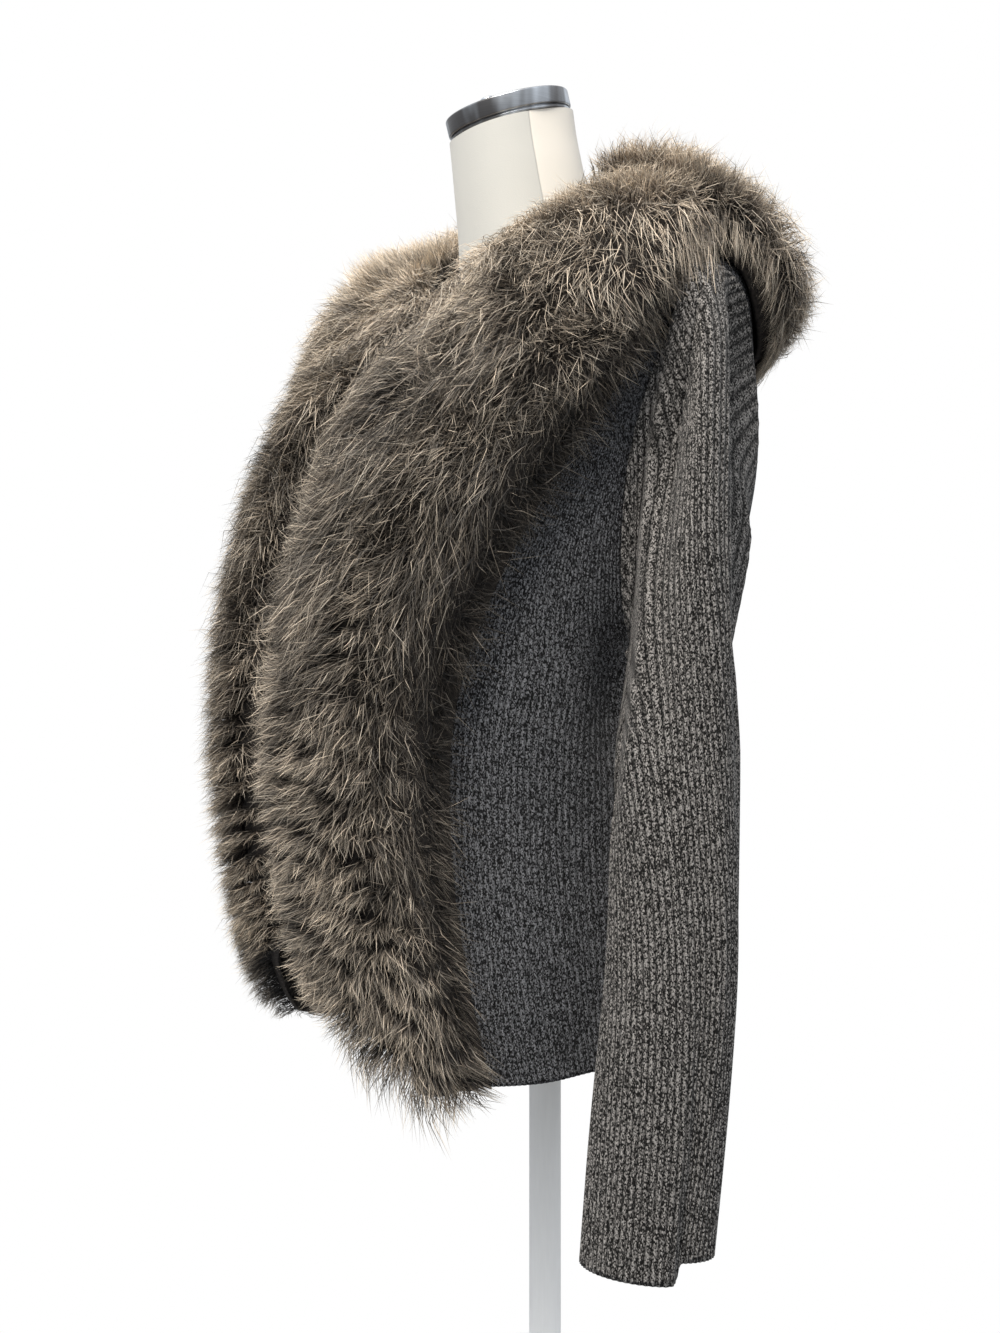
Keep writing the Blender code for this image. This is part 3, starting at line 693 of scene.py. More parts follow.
def sleeve_ring(ring, angle):
    """Points of one sleeve ring. Angles run from the outer line (0) by the front (90) to the inside."""
    sine, cosine = np.sin(np.radians(angle)), np.cos(np.radians(angle))
    outer = np.array((ring.outer_x, ring.outer_y, ring.outer_z))
    inner = np.array((ring.inner_x, ring.inner_y, ring.inner_z))
    half = (outer - inner) / 2
    forward = np.array((0.0, -1.0, 0.0))
    forward = forward - half * (half @ forward) / (half @ half)
    forward = forward / np.linalg.norm(forward)
    turned = (angle + 180) % 360 - 180
    depth = ring.half_depth * sine
    bar = ring.bar_half * np.tanh(depth / ring.bar_half)
    depth = mix(bar, depth, smooth_step(np.abs(turned), BAR_FOOT, BAR_END - BAR_FOOT))
    past = turned - ring.crease_angle
    share = 1 - ring.crease * hump(past, np.where(past > 0, CREASE_FRONT_SPREAD, CREASE_BACK_SPREAD))
    sink = ring.sink * np.where(turned > 0, 1.0, BACK_SINK_SHARE)
    points = (outer + inner) / 2 + (half * cosine[:, None] + forward * depth[:, None]) * share[:, None]
    points[:, 0] -= sink * hump(np.abs(turned) - SINK_ANGLE, SINK_SPREAD)
    return points


def armhole_ring(angle):
    """The sleeve's sewn top, an oval that lies on the body."""
    sine, cosine = np.sin(np.radians(angle)), np.cos(np.radians(angle))
    middle, half = (ARMHOLE_TOP + ARMHOLE_FOOT) / 2, (ARMHOLE_TOP - ARMHOLE_FOOT) / 2 + SEAM_UP
    place = middle + half * cosine
    body_angle = 90 - sine * np.where(sine > 0, ARMHOLE_FRONT + SEAM_FRONT, ARMHOLE_BACK + SEAM_BACK)
    out = KNIT_WALL + RIB_HEIGHT + SLEEVE_LIFT + creased(BODY_CREASES, place, body_angle)
    return jacket(place, body_angle) + normals_at(jacket, place, body_angle) * out[:, None]


def barred(points, place, angle):
    """The sleeve with its bar: hollows sink beside the bar's edges, and a fold runs down it."""
    columns = np.array(BAR_ROWS).T
    row = BarRow(points[..., 2], *(np.interp(points[..., 2], columns[0], column) for column in columns[1:]))
    halves = [points[0][half] for half in (angle[0] <= 180, angle[0] >= 180)]
    seams = [half[np.argsort(half[:, 2])] for half in halves]
    depths = [np.interp(row.height, seam[:, 2], seam @ BAR_OUT) for seam in seams]
    aside = points @ BAR_ASIDE - row.middle
    ahead = aside < 0
    past = np.maximum(np.abs(aside) - row.half, 0)
    turned = np.abs((angle + 180) % 360 - 180)
    weight = 1 - smooth_step(turned, *BAR_SIDES)
    start = smooth_step(place, 0, BAR_START)
    above = np.maximum(points @ BAR_OUT - np.where(ahead, *depths), 0)
    sink = above * np.where(ahead, row.front_sink, row.back_sink)
    crest = aside + FOLD_ASIDE - FOLD_SLANT * (row.height - FOLD_LEVEL)
    fold = hump(crest, FOLD_HALF) - VALLEY_SHARE * hump(crest - VALLEY_ASIDE, VALLEY_HALF)
    sink = (sink * smooth_step(past, 0, BAR_EDGE) + row.fold * fold * start) * weight
    draw = past * (1 - np.where(ahead, row.front_share, row.back_share)) * np.where(ahead, 1, -1)
    draw = draw * weight * start
    return points - sink[..., None] * BAR_OUT + draw[..., None] * BAR_ASIDE


# The sleeves' copy of the same knit is lighter and warmer than the body's: painted light.
lit_sleeve_knit = melange("lit_sleeve_melange_knit", (0.012, 0.011, 0.010), (0.535, 0.505, 0.478), 0.88)
sleeve_angles = np.linspace(0, 360, SLEEVE_RIBS * RIB_STEPS + 1)[:-1]
sleeve_turns = (sleeve_angles + 180) % 360 - 180
crease_angle, crease_run = RISE_CREASE
behind_crease = smooth_step(crease_angle - sleeve_turns, 0, crease_run)
behind_crease = behind_crease * smooth_step(sleeve_turns, *RISE_BACK)
sleeve_places = np.linspace(0, CUFF, SLEEVE_ROWS)
sleeve_rings = [armhole_ring(sleeve_angles)] + [sleeve_ring(ring, sleeve_angles) for ring in SLEEVE_RINGS]
for side, swing, tuck in (("left", 0.0, 0.0), ("right", RIGHT_SWING, RIGHT_TUCK)):
    hang = sleeve_places[:, None] / CUFF
    middle = barred(along(sleeve_rings, sleeve_places), sleeve_places[:, None], sleeve_angles[None, :])
    middle = middle + (hang * (-tuck, swing, 0))[:, None, :]
    middle[..., 2] += CUFF_RISE * smooth_step(sleeve_places[:, None], *RISE_RINGS) * behind_crease
    fold = creased(SLEEVE_CREASES, sleeve_places[:, None], sleeve_angles[None, :])
    sleeve_inside = middle + grid_normals(middle, True) * (fold - KNIT_WALL / 2)[..., None]
    mirror = side == "right"
    sleeve = knit_shell(f"knit_sleeve_{side}", sleeve_inside, lit_sleeve_knit, tube=True, mirror=mirror)
    fit(sleeve, "knit", f"sleeve_{side}")
    cloth_area(sleeve_inside, True)

# Fur fronts
# Strips of fur are knitted in rows into a dark net, so the pile stands up in fringed rows.
# Each front is sewn to the knit beside it, and its lower corner rounds away to the opening.
FUR_FOOT = -0.2
FUR_SET, FUR_SHOULDER, FUR_SEAM_UP = 0.9, 89.7, 0.008
FUR_EDGE_HEIGHT, FUR_ROUNDING, NECK_FALL = 0.007, 0.028, 0.65
FRONT_WIDTH, FRONT_LENGTH = 0.165, 0.52
FRONT_FUR_ROWS, FRONT_STRANDS = 40, 65000
NET_SHARE, NET_WALL, NET_BASE, NET_LAP, LAP_SINK = 0.56, 0.0020, 0.0036, 0.06, 0.0028
NET_ROWS, NET_COLUMNS, NET_FOOT, LEFT_NET_FOOT = 60, 24, 0.18, 0.12
ROOT_ROWS, ROOT_COLUMNS, ROOT_SHARES = 90, 60, (0.004, 0.996)
WAVE_PITCHES = (0.025, 0.075)

# A strand has two pairs of corners and a tip. Its knee lies out and on from the root, and strays.
STRAND_PLACES, STRAND_WIDTHS = (0.0, 0.55, 1.0), (0.9, 1.0)
KNEE_OUT, KNEE_ON, KNEE_STRAY, ROLL_STRAY = 0.55, 0.12, 0.14, 0.9
HAIR_WIDTHS, GUARD_WIDTH, UNDER_HAIRS = (0.00030, 0.00052), 0.75, 0.25
TONE_HALF, TONE_LIMITS, TONE_WAVES = 0.004, (0.03, 0.80), 0.06
SAG = (2.0, 0.0010)

# Guard hairs stand past the pile and are paler. Under hairs are shorter and darker.
Growth = namedtuple("Growth", "guards reach guard_reach under_reach tone guard_tone under_tone")
FRONT_GROWTH = Growth(0.09, (0.95, 0.06), 0.11, (0.05, 0.30), (0.31, 0.15), 0.34, 0.10)

# Zones begin at a start and are full after a run: rows up the front, or shares from opening to seam.
DRAWN_ROWS, DRAWN_SHARES = (FUR_FOOT, 1.5), (0.4, 0.5)
LAP_ROWS, LAP_SHARES, CREASED_SHARES = (5.5, 1.5), (0.97, 0.06), (0.75, 0.25)
LOOSE_ROWS, HEM_ROWS, HEM_SHARES = (1.4, 3.6), (FUR_FOOT, 0.7), (0.2, 0.4)
FLAT_SHARES, FLAT_ROWS, FLAT_END = (0.62, 0.26), (0.7, 1.2), (4.6, 1.6)
BRIM_ROWS, BRIM_SHARES, SEAM_SHARES = (6.5, 1.0), (0.0, 0.35), (0.84, 0.16)
CHEST_ROWS, SHOULDER_ROWS, PARTING_ROWS = (4.2, 1.2), (6.8, 1.2), (4.4, 0.6)
OVER_ROWS, OVER_SHARES, RIGHT_TOP_ROWS = (7.2, 1.2), (0.75, 0.25), (7.2, 1.0)
FRINGE_SHARES, FRINGE_END, BACKWARD_ROWS = (0.18, 0.35), (0.8, 0.2), (8.2, 0.8)
TOP_LIGHT_ROWS, LOW_ROWS, OPENING_SHARES = (4.8, 3.2), (1.5, 2.0), (0.0, 0.3)
CORNER_ROWS, CORNER_SHARES = (0.2, 0.6), (0.1, 0.3)

# How far strands drop, fan out, reach and hang. Pairs run from the tied rows to the loose or flat pile.
CORNER_PULL, SEAM_PULL_LESS, RIGHT_FOOT, TIPS_BELOW, HEIGHT_FOOT = 0.42, 0.28, 0.22, 0.5, 0.25
LOOSE_WAVES, ROW_WANDER, ROW_SPREAD = 0.16, 0.28, 0.22
DROP, DROP_WAVES, DROP_STRAY, HEM_DROP = 0.006, (0.0012, 0.0035), (0.0018, 0.0075), 0.010
FAN, FAN_MIDDLE, FAN_WAVES, FAN_STRAY = 0.022, 0.62, 0.0030, (0.0050, 0.0090)
SEAM_FAN, BRIM_FAN, BRIM_HEIGHT, OVER_HEIGHT = 0.010, 0.022, 0.014, 0.020
PARTING_SHARE, PARTING_ROW, PARTING_SLANT, PARTING_HALF = 0.40, 5.2, 0.32, 0.07
FLAT_SHORTER, PARTING_SHORTER = 0.26, 0.22
RIGHT_LOFT, RIGHT_CHEST_LOFT, RIGHT_SHOULDER_LOFT, RIGHT_TOP_RISE = 0.06, 0.13, 0.14, 0.011
SAG_SHARES, OVER_HANG, BACKWARD = (0.6, 1.0), (0.004, 0.026), 0.020
FRINGE, FRINGE_LESS = (0.012, 0.036), 0.7
# Tone shifts by zone. The paleness up the front is painted light on the shoulders' tops, and the paleness
# at the lower corner is painted light over its shadow.
TOP_PAINTED_LIGHT, PALE_LOW, PALE_OPENING, CORNER_PAINTED_LIGHT = 0.38, 0.11, 0.10, 0.22
# The darkening of the flat pile by the seam is painted shade from the fur's bulge and the sleeve. The
# darkening of the pile that hangs over the sleeve is painted shade from the collar.
FLAT_PAINTED_SHADE, DARK_PARTING, OVER_PAINTED_SHADE = 0.13, 0.10, 0.15


def rounded(distance):
    """A share of the full height that rises in a quarter round from an edge."""
    inside = np.clip(distance / FUR_ROUNDING, 0.0, 1.0)
    return np.sqrt(1 - (1 - inside) ** 2)


def front_fur_spot(station, share):
    """Place and angle on the body of a point of the left fur front."""
    edge = front_station(station)
    sewn_angle = np.minimum(edge.outer_angle - FUR_SET, FUR_SHOULDER)
    inner_place = np.minimum(edge.inner_place, NECK)
    return mix(inner_place, edge.outer_place + FUR_SEAM_UP, share), mix(edge.inner_angle, sewn_angle, share)


def drawn_up(row, share, pull):
    """Rows of a fur front whose lower corner is drawn up, most at the opening and least at the seam."""
    corner = CORNER_PULL - SEAM_PULL_LESS * smooth_step(share, *DRAWN_SHARES)
    return row + pull * corner * (1 - smooth_step(row, *DRAWN_ROWS))


def front_fur_height(station, share):
    """How high the pile reaches over the cloth's inside."""
    values = front_station(station)
    across = mix(rounded(share * FRONT_WIDTH), smooth_step(share, 0, NECK_FALL), values.fall)
    across = across * rounded((1 - share) * FRONT_WIDTH)
    lift = rounded((station - FUR_FOOT) / FRONT_TOP * FRONT_LENGTH)
    return mix(FUR_EDGE_HEIGHT, values.height, across * lift)


def lifted(spot_of, row, share, height):
    """Points of a fur piece at a height over the body, and their outward directions."""
    place, angle = spot_of(row, share)
    out = normals_at(jacket, place, angle)
    return jacket(place, angle) + out * np.asarray(height)[..., None], out


def fur_net(name, spot_of, height_of, rows, shares, raised, base, lap, mirror):
    """The dark knitted net that carries the pile, raised inside it, with its last edge laid on the knit."""
    row, share = np.meshgrid(rows, shares, indexing="ij")
    share = share * (1 + lap)[:, None]
    height = base + raised * height_of(row, share) - LAP_SINK * smooth_step(share, *LAP_SHARES)
    height = height + smooth_step(share, *CREASED_SHARES) * creased(BODY_CREASES, *spot_of(row, share))
    outer = lifted(spot_of, row, share, height)[0]
    inner = lifted(spot_of, row, share, height - NET_WALL)[0]
    pairs = np.stack((share, row), -1)
    net = shell(name, outer, inner, pairs, pairs, False, fur_backing, mirror)
    return net, cloth_area(outer, False)


def strands(name, root, tip, out, guard, tone, random, mirror):
    """A pile of tapering, curved strands as one mesh. Its map gives each strand's tone and length."""
    width = random.uniform(*HAIR_WIDTHS, len(root)) * np.where(guard, GUARD_WIDTH, 1.0)
    tone = np.clip(tone, *TONE_LIMITS)
    reach = np.linalg.norm(tip - root, axis=1, keepdims=True)
    stray = random.normal(0, KNEE_STRAY, root.shape)
    knee = root + out * reach * KNEE_OUT + (tip - root) * KNEE_ON + stray * reach
    roll = random.normal(0, ROLL_STRAY, (len(root), 1))
    vertices = np.empty((len(root), 5, 3))
    vertices[:, 4] = tip
    for k, (t, spread) in enumerate(zip(STRAND_PLACES, STRAND_WIDTHS)):
        point = root * (1 - t) ** 2 + knee * 2 * t * (1 - t) + tip * t * t
        way = (knee - root) * (1 - t) + (tip - knee) * t
        side = np.cross(way, out)
        side /= np.maximum(np.linalg.norm(side, axis=1, keepdims=True), 1e-9)
        face = np.cross(side, way)
        face /= np.maximum(np.linalg.norm(face, axis=1, keepdims=True), 1e-9)
        side = (side * np.cos(roll) + face * np.sin(roll)) * width[:, None] * spread / 2
        vertices[:, 2 * k] = point - side
        vertices[:, 2 * k + 1] = point + side
    pattern = np.array(((0, 1, 3), (0, 3, 2), (2, 3, 4)))
    if mirror:
        vertices = vertices * (-1, 1, 1)
        pattern = pattern[:, ::-1]
    faces = (np.arange(len(root))[:, None, None] * 5 + pattern).reshape(-1, 3)
    sides = np.array((-1, 1, -1, 1, 0)) * TONE_HALF
    lengths = np.repeat(STRAND_PLACES, (2, 2, 1))
    pairs = np.stack((tone[:, None] + sides, np.broadcast_to(lengths, (len(root), 5))), -1).reshape(-1, 2)
    return mesh_piece(name, vertices, faces.tolist(), hair, {"OFBake": pairs[faces.ravel()]})


def waves(along_it, across_it, random, count=9):
    """A smooth uneven field of about -2 to 2, with a few centimetres from crest to crest."""
    field = 0.0
    shortest, longest = WAVE_PITCHES
    for _ in range(count):
        turn, pitch, start = random.uniform((0, shortest, 0), (2 * np.pi, longest, 2 * np.pi))
        run = np.cos(turn) * along_it + np.sin(turn) * across_it
        field = field + np.sin(run * 2 * np.pi / pitch + start)
    return field / np.sqrt(count / 2)


def fur_roots(spot_of, rows, count, random):
    """Rows and shares of strand roots, spread evenly over the body under a fur piece."""
    columns = np.linspace(*ROOT_SHARES, ROOT_COLUMNS)
    row, share = np.meshgrid(np.linspace(*rows, ROOT_ROWS), columns, indexing="ij")
    grid = jacket(*spot_of(row, share))
    sides = np.cross(grid[:-1, 1:] - grid[:-1, :-1], grid[1:, :-1] - grid[:-1, :-1])
    weight = np.linalg.norm(sides, axis=-1).ravel()
    cell = random.choice(weight.size, count, p=weight / weight.sum())
    step_row, step_share = row[1, 0] - row[0, 0], share[0, 1] - share[0, 0]
    found_row = row[:-1, :-1].ravel()[cell] + random.random(count) * step_row
    return found_row, share[:-1, :-1].ravel()[cell] + random.random(count) * step_share


def grown_reach(growth, guard, under, random):
    """Each strand's share of the pile's height."""
    reach = random.normal(*growth.reach, len(guard)) + growth.guard_reach * guard
    return reach - random.uniform(*growth.under_reach, len(guard)) * under


def grown_tone(growth, guard, under, along_it, across_it, random):
    """Each strand's tone, from 0 (dark) to 1 (pale)."""
    tone = random.normal(*growth.tone, len(guard)) + TONE_WAVES * waves(along_it, across_it, random)
    return tone + growth.guard_tone * guard - growth.under_tone * under


hair = Finish("brown_fur_hair")
pair = hair.node("UVMap", {"uv_map": "OFBake"})
tone = hair.node("SeparateXYZ", {}, pair)
length = hair.node("SeparateXYZ", {}, pair, output=1)
HAIR_STOPS = [
    (0.0, (0.007, 0.006, 0.006)),
    (0.30, (0.024, 0.020, 0.017)),
    (0.55, (0.118, 0.096, 0.077)),
    (0.80, (0.350, 0.290, 0.225)),
    (1.0, (0.560, 0.470, 0.365)),
]
grown = hair.node("ValToRGB", {"stops": HAIR_STOPS}, length + 0.4 * (tone - 0.35))
greyed = hair.blend((1.0, 1.0, 1.0), (0.90, 0.97, 1.04), (tone * 9) % 1)
tinted = hair.node("VectorMath", {"operation": "MULTIPLY"}, grown, greyed)
hair.set(
    Base_Color=hair.shaded(tinted, 0.14 + tone * (1.2 + 1.6 * tone)),
    Roughness=0.55,
    Specular_IOR_Level=0.35,
)

fur_backing = Finish("dark_fur_net")
at = fur_backing.node("TexCoord", {}, output=3)
loops = fur_backing.node("TexVoronoi", {}, at, Scale=420.0)
fur_backing.set(
    Base_Color=fur_backing.blend((0.012, 0.010, 0.009), (0.035, 0.028, 0.023), loops.ramp(0.1, 0.7)),
    Roughness=0.95,
    Normal=fur_backing.bump(loops, 0.0008, 0.7),
)

# The right front hangs higher than the left: its corner is drawn up, and its pile is fuller.
ROW_STEP = (FRONT_TOP - FUR_FOOT) / FRONT_FUR_ROWS
ROW_LENGTH = FRONT_LENGTH / FRONT_TOP
for side, seed, pull in (("left", 11, 0.0), ("right", 12, 1.0)):
    random = np.random.default_rng(seed)
    row, share = fur_roots(front_fur_spot, (FUR_FOOT, FRONT_TOP), FRONT_STRANDS, random)
    rise, aside = row * ROW_LENGTH, share * FRONT_WIDTH
    loose = np.clip(smooth_step(row, *LOOSE_ROWS) + LOOSE_WAVES * waves(rise, aside, random), 0, 1)
    wander = ROW_WANDER * waves(rise, aside, random)
    in_rows = (row - FUR_FOOT) / ROW_STEP + wander
    strip = np.floor(in_rows) + 0.5
    row = FUR_FOOT + (mix(strip + (in_rows - strip) * ROW_SPREAD, in_rows, loose) - wander) * ROW_STEP
    row = np.clip(row, FUR_FOOT + RIGHT_FOOT * pull, FRONT_TOP)
    row = drawn_up(row, share, pull)
    fall = np.clip(front_station(row).fall, 0, 1)
    flat = smooth_step(row, *FLAT_ROWS) * (1 - smooth_step(row, *FLAT_END))
    flat = flat * smooth_step(share, *FLAT_SHARES)
    hem = 1 - smooth_step(row, *HEM_ROWS)
    parting = hump(share - PARTING_SHARE - PARTING_SLANT * (row - PARTING_ROW), PARTING_HALF)
    parting = parting * smooth_step(row, *PARTING_ROWS)
    guard = random.random(len(row)) < FRONT_GROWTH.guards
    under = random.random(len(row)) < UNDER_HAIRS
    drop = DROP + mix(*DROP_WAVES, loose) * waves(rise, aside, random)
    drop = drop + HEM_DROP * hem * smooth_step(share, *HEM_SHARES)
    drop = drop + random.normal(0, 1, len(row)) * mix(*DROP_STRAY, np.maximum(loose, flat))
    fan = FAN * (share - FAN_MIDDLE) * np.where(share < FAN_MIDDLE, 1 - fall, 1.0)
    fan = fan + FAN_WAVES * waves(rise, aside, random)
    fan = fan + random.normal(0, 1, len(row)) * mix(*FAN_STRAY, flat)
    fan = fan + SEAM_FAN * np.abs(random.normal(0, 1, len(row))) * smooth_step(share, *SEAM_SHARES)
    brim = smooth_step(row, *BRIM_ROWS) * (1 - smooth_step(share, *BRIM_SHARES)) * random.random(len(row))
    fan = fan - BRIM_FAN * brim
    tip_row = np.clip(row - drop / ROW_LENGTH, FUR_FOOT - TIPS_BELOW, FRONT_TOP)
    tip_share = share + fan / FRONT_WIDTH
    reach = grown_reach(FRONT_GROWTH, guard, under, random)
    reach = reach * (1 - FLAT_SHORTER * flat) * (1 - PARTING_SHORTER * parting)
    loft = RIGHT_LOFT + RIGHT_CHEST_LOFT * smooth_step(row, *CHEST_ROWS)
    reach = reach + (loft + RIGHT_SHOULDER_LOFT * smooth_step(row, *SHOULDER_ROWS)) * pull
    height = front_fur_height(np.maximum(tip_row, FUR_FOOT + HEIGHT_FOOT), np.clip(tip_share, 0, 1))
    root, out = lifted(front_fur_spot, row, share, NET_SHARE * front_fur_height(row, share))
    over = smooth_step(share, *OVER_SHARES) * smooth_step(row, *OVER_ROWS)
    height = np.maximum(height * reach, FUR_EDGE_HEIGHT) + OVER_HEIGHT * over * random.random(len(row))
    tip = lifted(front_fur_spot, tip_row, tip_share, height + BRIM_HEIGHT * brim)[0]
    tip[:, 2] -= random.gamma(*SAG, len(row)) * mix(*SAG_SHARES, loose)
    fringe = hem * smooth_step(share, *FRINGE_SHARES) * (1 - FRINGE_LESS * smooth_step(share, *FRINGE_END))
    tip[:, 2] -= random.uniform(*FRINGE, len(row)) * fringe * (1 - pull)
    tip[:, 2] += RIGHT_TOP_RISE * pull * smooth_step(row, *RIGHT_TOP_ROWS)
    tip[:, 2] -= random.uniform(*OVER_HANG, len(row)) * over
    tip[:, 1] += random.uniform(0, BACKWARD, len(row)) * smooth_step(row, *BACKWARD_ROWS)
    hair_tone = grown_tone(FRONT_GROWTH, guard, under, rise, aside, random)
    # Painted light: strands up the front are paler, as if lit from above.
    hair_tone += TOP_PAINTED_LIGHT * smooth_step(row, *TOP_LIGHT_ROWS)
    hair_tone += PALE_LOW * (1 - smooth_step(row, *LOW_ROWS))
    hair_tone += PALE_OPENING * (1 - smooth_step(share, *OPENING_SHARES))
    # Painted light: strands at the lower corner are paler, to lift its shadow.
    corner = (1 - smooth_step(row, *CORNER_ROWS)) * (1 - smooth_step(share, *CORNER_SHARES))
    hair_tone += CORNER_PAINTED_LIGHT * corner
    # Painted shade: the flat pile and the pile hanging over the sleeve are darkened.
    hair_tone -= FLAT_PAINTED_SHADE * flat + DARK_PARTING * parting + OVER_PAINTED_SHADE * over
    mirror = side == "right"
    pile = strands(f"fur_pile_front_{side}", root, tip, out, guard, hair_tone, random, mirror)
    fit(pile, "fur", f"fur_front_{side}")

    def drawn_spot(station, share):
        return front_fur_spot(drawn_up(station, share, pull), share)

    net_rows = np.linspace(FUR_FOOT + NET_FOOT + LEFT_NET_FOOT * (1 - pull), FRONT_TOP, NET_ROWS)
    lap = NET_LAP * (1 - smooth_step(net_rows, *LAP_ROWS))
    net, net_area = fur_net(
        f"fur_net_front_{side}", drawn_spot, front_fur_height, net_rows, np.linspace(0, 1, NET_COLUMNS),
        NET_SHARE, NET_BASE, lap, mirror,
    )
    fit(net, "fur", f"fur_front_{side}")

# Fur collar
# A wide shawl collar of the same knitted fur lies over the shoulders and upper back. It is
# sewn round the neck and meets the fronts at the shoulder line.
CollarStation = namedtuple("CollarStation", "angle outer_place neck_height height")
COLLAR_STATIONS = [
    CollarStation(90.0, 7.25, 0.026, 0.050),
    CollarStation(101.0, 7.12, 0.028, 0.048),
    CollarStation(115.0, 6.52, 0.030, 0.043),
    CollarStation(133.0, 6.10, 0.032, 0.038),
    CollarStation(156.0, 5.92, 0.032, 0.036),
    CollarStation(180.0, 5.88, 0.032, 0.036),
]
COLLAR_MIDDLE = len(COLLAR_STATIONS) - 1
COLLAR_LIFT, COLLAR_DEPTH, COLLAR_LENGTH, COLLAR_STRANDS = 0.0030, 0.13, 0.50, 65000
COLLAR_RISE, COLLAR_NET_SHARE, COLLAR_NET_ROWS, COLLAR_NET_COLUMNS = 0.5, 0.45, 90, 20
COLLAR_BASE = KNIT_WALL + RIB_HEIGHT + COLLAR_LIFT
COLLAR_GROWTH = Growth(0.10, (0.95, 0.08), 0.14, (0.10, 0.45), (0.70, 0.15), 0.25, 0.12)
COLLAR_WAVES, ROUND_STRAY, DOWN_STRAY = 0.0035, 0.0075, 0.0080
END_LEAN, END_HALF, PAST_ENDS, PAST_EDGE = 0.018, 0.5, 0.6, 0.06
LEAN_DOWN, EDGE_LEAN, COLLAR_BRIM_LEAN, COLLAR_BRIM_HEIGHT = 0.002, 0.012, 0.024, 0.012
# The darkening at the collar's lower edge, most beside the shoulders, is painted shade.
OVERHANG_HEIGHT, OVERHANG_DROP, EDGE_SHADE, EDGE_SHADE_BESIDE = 0.012, 0.012, 0.06, 0.15

# Zones as on the fronts: stations in from either shoulder, or shares from the neck to the lower edge.
BESIDE_STATIONS, COLLAR_BRIM_SHARES, EDGE_SHARES = (2.2, 1.2), (0.0, 0.3), (0.7, 0.3)
OVERHANG_SHARES, EDGE_SHADE_SHARES = (0.72, 0.28), (0.6, 0.3)


def collar_station(station):
    """The collar's columns at stations from the left shoulder (0) by the back to the right shoulder."""
    side = np.minimum(station, 2 * COLLAR_MIDDLE - station)
    values = CollarStation(*np.moveaxis(along(COLLAR_STATIONS, side), -1, 0))
    return values._replace(angle=np.where(station <= COLLAR_MIDDLE, values.angle, 360 - values.angle))


def collar_spot(station, share):
    """Place and angle on the body of a point of the collar, from the neck (0) to its lower edge."""
    values = collar_station(station)
    return mix(NECK, values.outer_place, share), values.angle + 0 * share


def collar_height(station, share):
    """How high the collar's pile reaches over its net."""
    values = collar_station(station)
    crown = rounded((1 - share) * COLLAR_DEPTH)
    rise = np.sin(np.clip(share / COLLAR_RISE, 0, 1) * np.pi / 2)
    return mix(FUR_EDGE_HEIGHT, mix(values.neck_height, values.height, rise), crown)


random = np.random.default_rng(13)
collar_end = 2 * COLLAR_MIDDLE
row, share = fur_roots(collar_spot, (0, collar_end), COLLAR_STRANDS, random)
around_it, down = row / collar_end * COLLAR_LENGTH, share * COLLAR_DEPTH
guard = random.random(len(row)) < COLLAR_GROWTH.guards
under = random.random(len(row)) < UNDER_HAIRS
lean_round = COLLAR_WAVES * waves(around_it, down, random) + random.normal(0, ROUND_STRAY, len(row))
lean_round = lean_round - END_LEAN * (hump(row, END_HALF) - hump(row - collar_end, END_HALF))
beside = 1 - smooth_step(np.minimum(row, collar_end - row), *BESIDE_STATIONS)
brim = beside * (1 - smooth_step(share, *COLLAR_BRIM_SHARES)) * random.random(len(row))
lean_down = LEAN_DOWN + EDGE_LEAN * smooth_step(share, *EDGE_SHARES) - COLLAR_BRIM_LEAN * brim
lean_down = lean_down + COLLAR_WAVES * waves(around_it, down, random)
lean_down = lean_down + random.normal(0, DOWN_STRAY, len(row))
tip_row = row + lean_round / COLLAR_LENGTH * collar_end
tip_share = np.minimum(share + lean_down / COLLAR_DEPTH, 1 + PAST_EDGE * random.random(len(row)))
reach = grown_reach(COLLAR_GROWTH, guard, under, random)
height = collar_height(np.clip(tip_row, 0, collar_end), np.clip(tip_share, 0, 1))
root, out = lifted(collar_spot, row, share, COLLAR_BASE + COLLAR_NET_SHARE * collar_height(row, share))
overhang = smooth_step(share, *OVERHANG_SHARES) * beside
tip_height = COLLAR_BASE + height * reach + OVERHANG_HEIGHT * overhang * random.random(len(row))
tip_height = tip_height + COLLAR_BRIM_HEIGHT * brim
tip = lifted(collar_spot, np.clip(tip_row, -PAST_ENDS, collar_end + PAST_ENDS), tip_share, tip_height)[0]
tip[:, 2] -= random.gamma(*SAG, len(row)) + random.uniform(0, OVERHANG_DROP, len(row)) * overhang
hair_tone = grown_tone(COLLAR_GROWTH, guard, under, around_it, down, random)
# Painted shade on the collar's lower edge, strongest beside the shoulders.
hair_tone -= (EDGE_SHADE + EDGE_SHADE_BESIDE * beside) * smooth_step(share, *EDGE_SHADE_SHARES)
pile = strands("fur_pile_collar", root, tip, out, guard, hair_tone, random, False)
fit(pile, "fur", "fur_collar")
net_rows = np.linspace(0, collar_end, COLLAR_NET_ROWS)
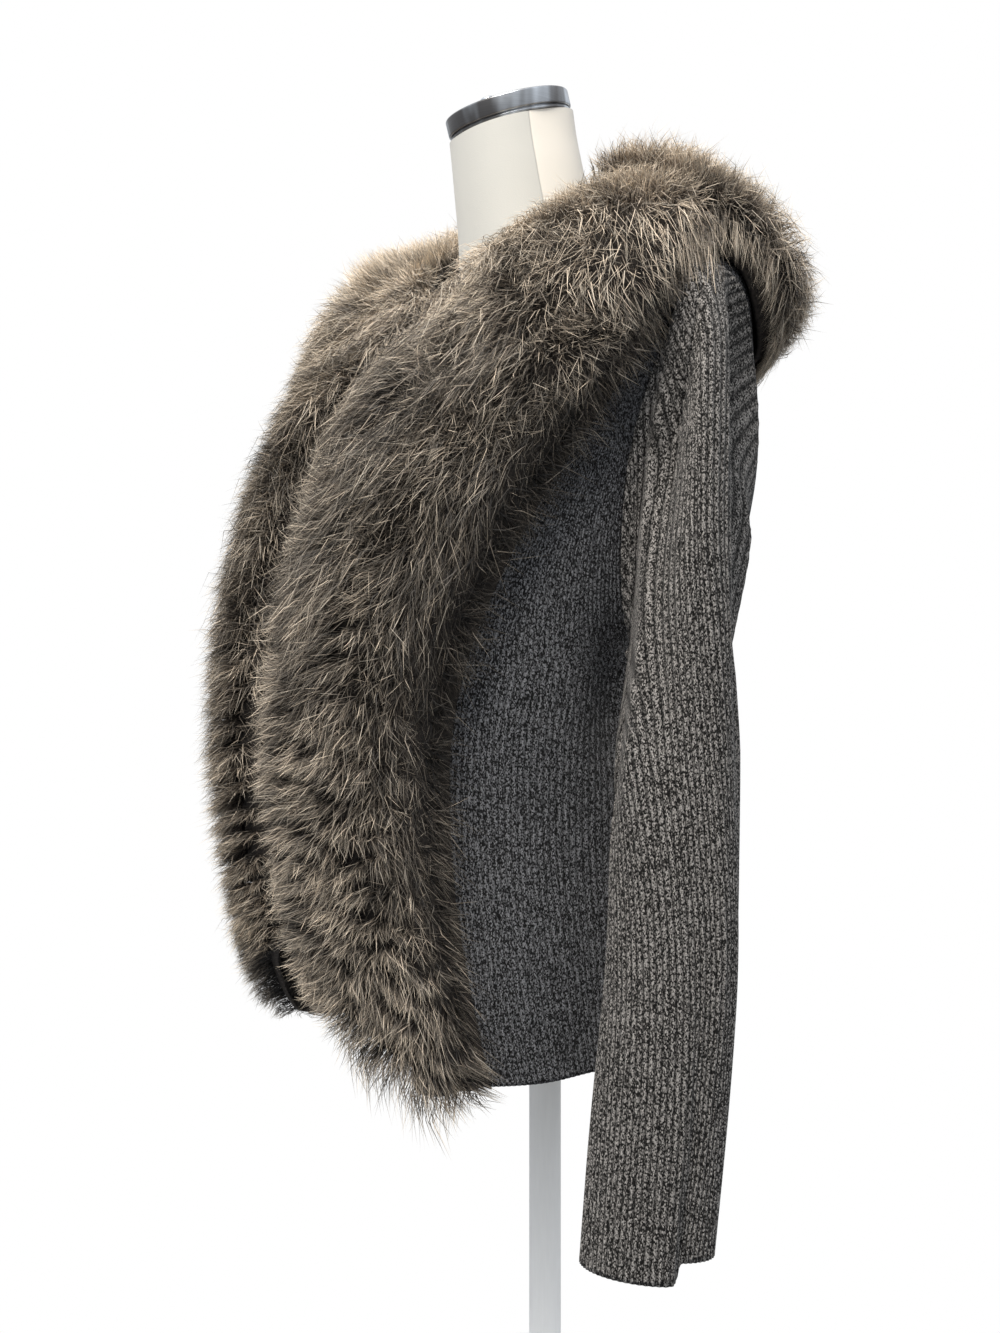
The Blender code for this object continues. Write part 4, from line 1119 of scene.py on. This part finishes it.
net, net_area = fur_net(
    "fur_net_collar", collar_spot, collar_height, net_rows, np.linspace(0, 1, COLLAR_NET_COLUMNS),
    COLLAR_NET_SHARE, COLLAR_BASE, 0 * net_rows, False,
)
fit(net, "fur", "fur_collar")

# Studio
# A small round of white paper lies under the foot. The surround is white to the eye and lights
# softly from above, and a broad warm light hangs over the camera's left shoulder.
PAPER_RADIUS, PAPER_CORNERS, PAPER_PLACE = 0.185, 96, (0, 0, -0.0005)
LIT_MIDDLE = Vector((0, 0, 0.6))
KEY_AHEAD, KEY_LEFT, KEY_ABOVE = 1.1, 0.5, 1.75
KEY_SIZE, KEY_POWER, KEY_COLOUR = 0.8, 50.0, (1.0, 0.94, 0.86)

bpy.ops.object.select_all(action="DESELECT")
bpy.ops.mesh.primitive_circle_add(
    vertices=PAPER_CORNERS, radius=PAPER_RADIUS, fill_type="NGON", location=PAPER_PLACE
)
floor = bpy.context.object
floor.name = "floor"
paper = Finish("white_paper")
grain = paper.node("TexNoise", {}, Scale=40.0, Detail=3.0)
paper.set(Base_Color=paper.blend((0.93, 0.93, 0.93), (0.95, 0.95, 0.95), grain), Roughness=0.9)
floor.data.materials.append(paper.material)

key_light = bpy.data.lights.new("key", "AREA")
key_light.shape = "DISK"
key_light.size = KEY_SIZE
key_light.energy = KEY_POWER
key_light.color = KEY_COLOUR
key = bpy.data.objects.new("key", key_light)
key.location = LIT_MIDDLE + towards * KEY_AHEAD - to_right * KEY_LEFT + upwards * KEY_ABOVE
key.rotation_euler = (LIT_MIDDLE - key.location).to_track_quat("-Z", "Y").to_euler()
bpy.context.scene.collection.objects.link(key)

surround = bpy.data.worlds.new("surround")
surround.use_nodes = True
sky = Nodes(surround.node_tree)
height_up = sky.node("SeparateXYZ", {}, sky.node("TexCoord", {}), output=2)
dome = sky.blend((0.34, 0.35, 0.36), (0.94, 0.98, 1.03), height_up.ramp(-0.2, 0.8))
seen = sky.node("LightPath", {})
sky.plug(sky.tree.nodes["Background"].inputs["Color"], sky.blend(dome, (1, 1, 1), seen))
bpy.context.scene.world = surround
bpy.context.scene.view_settings.view_transform = "Standard"

bpy.context.view_layer.update()
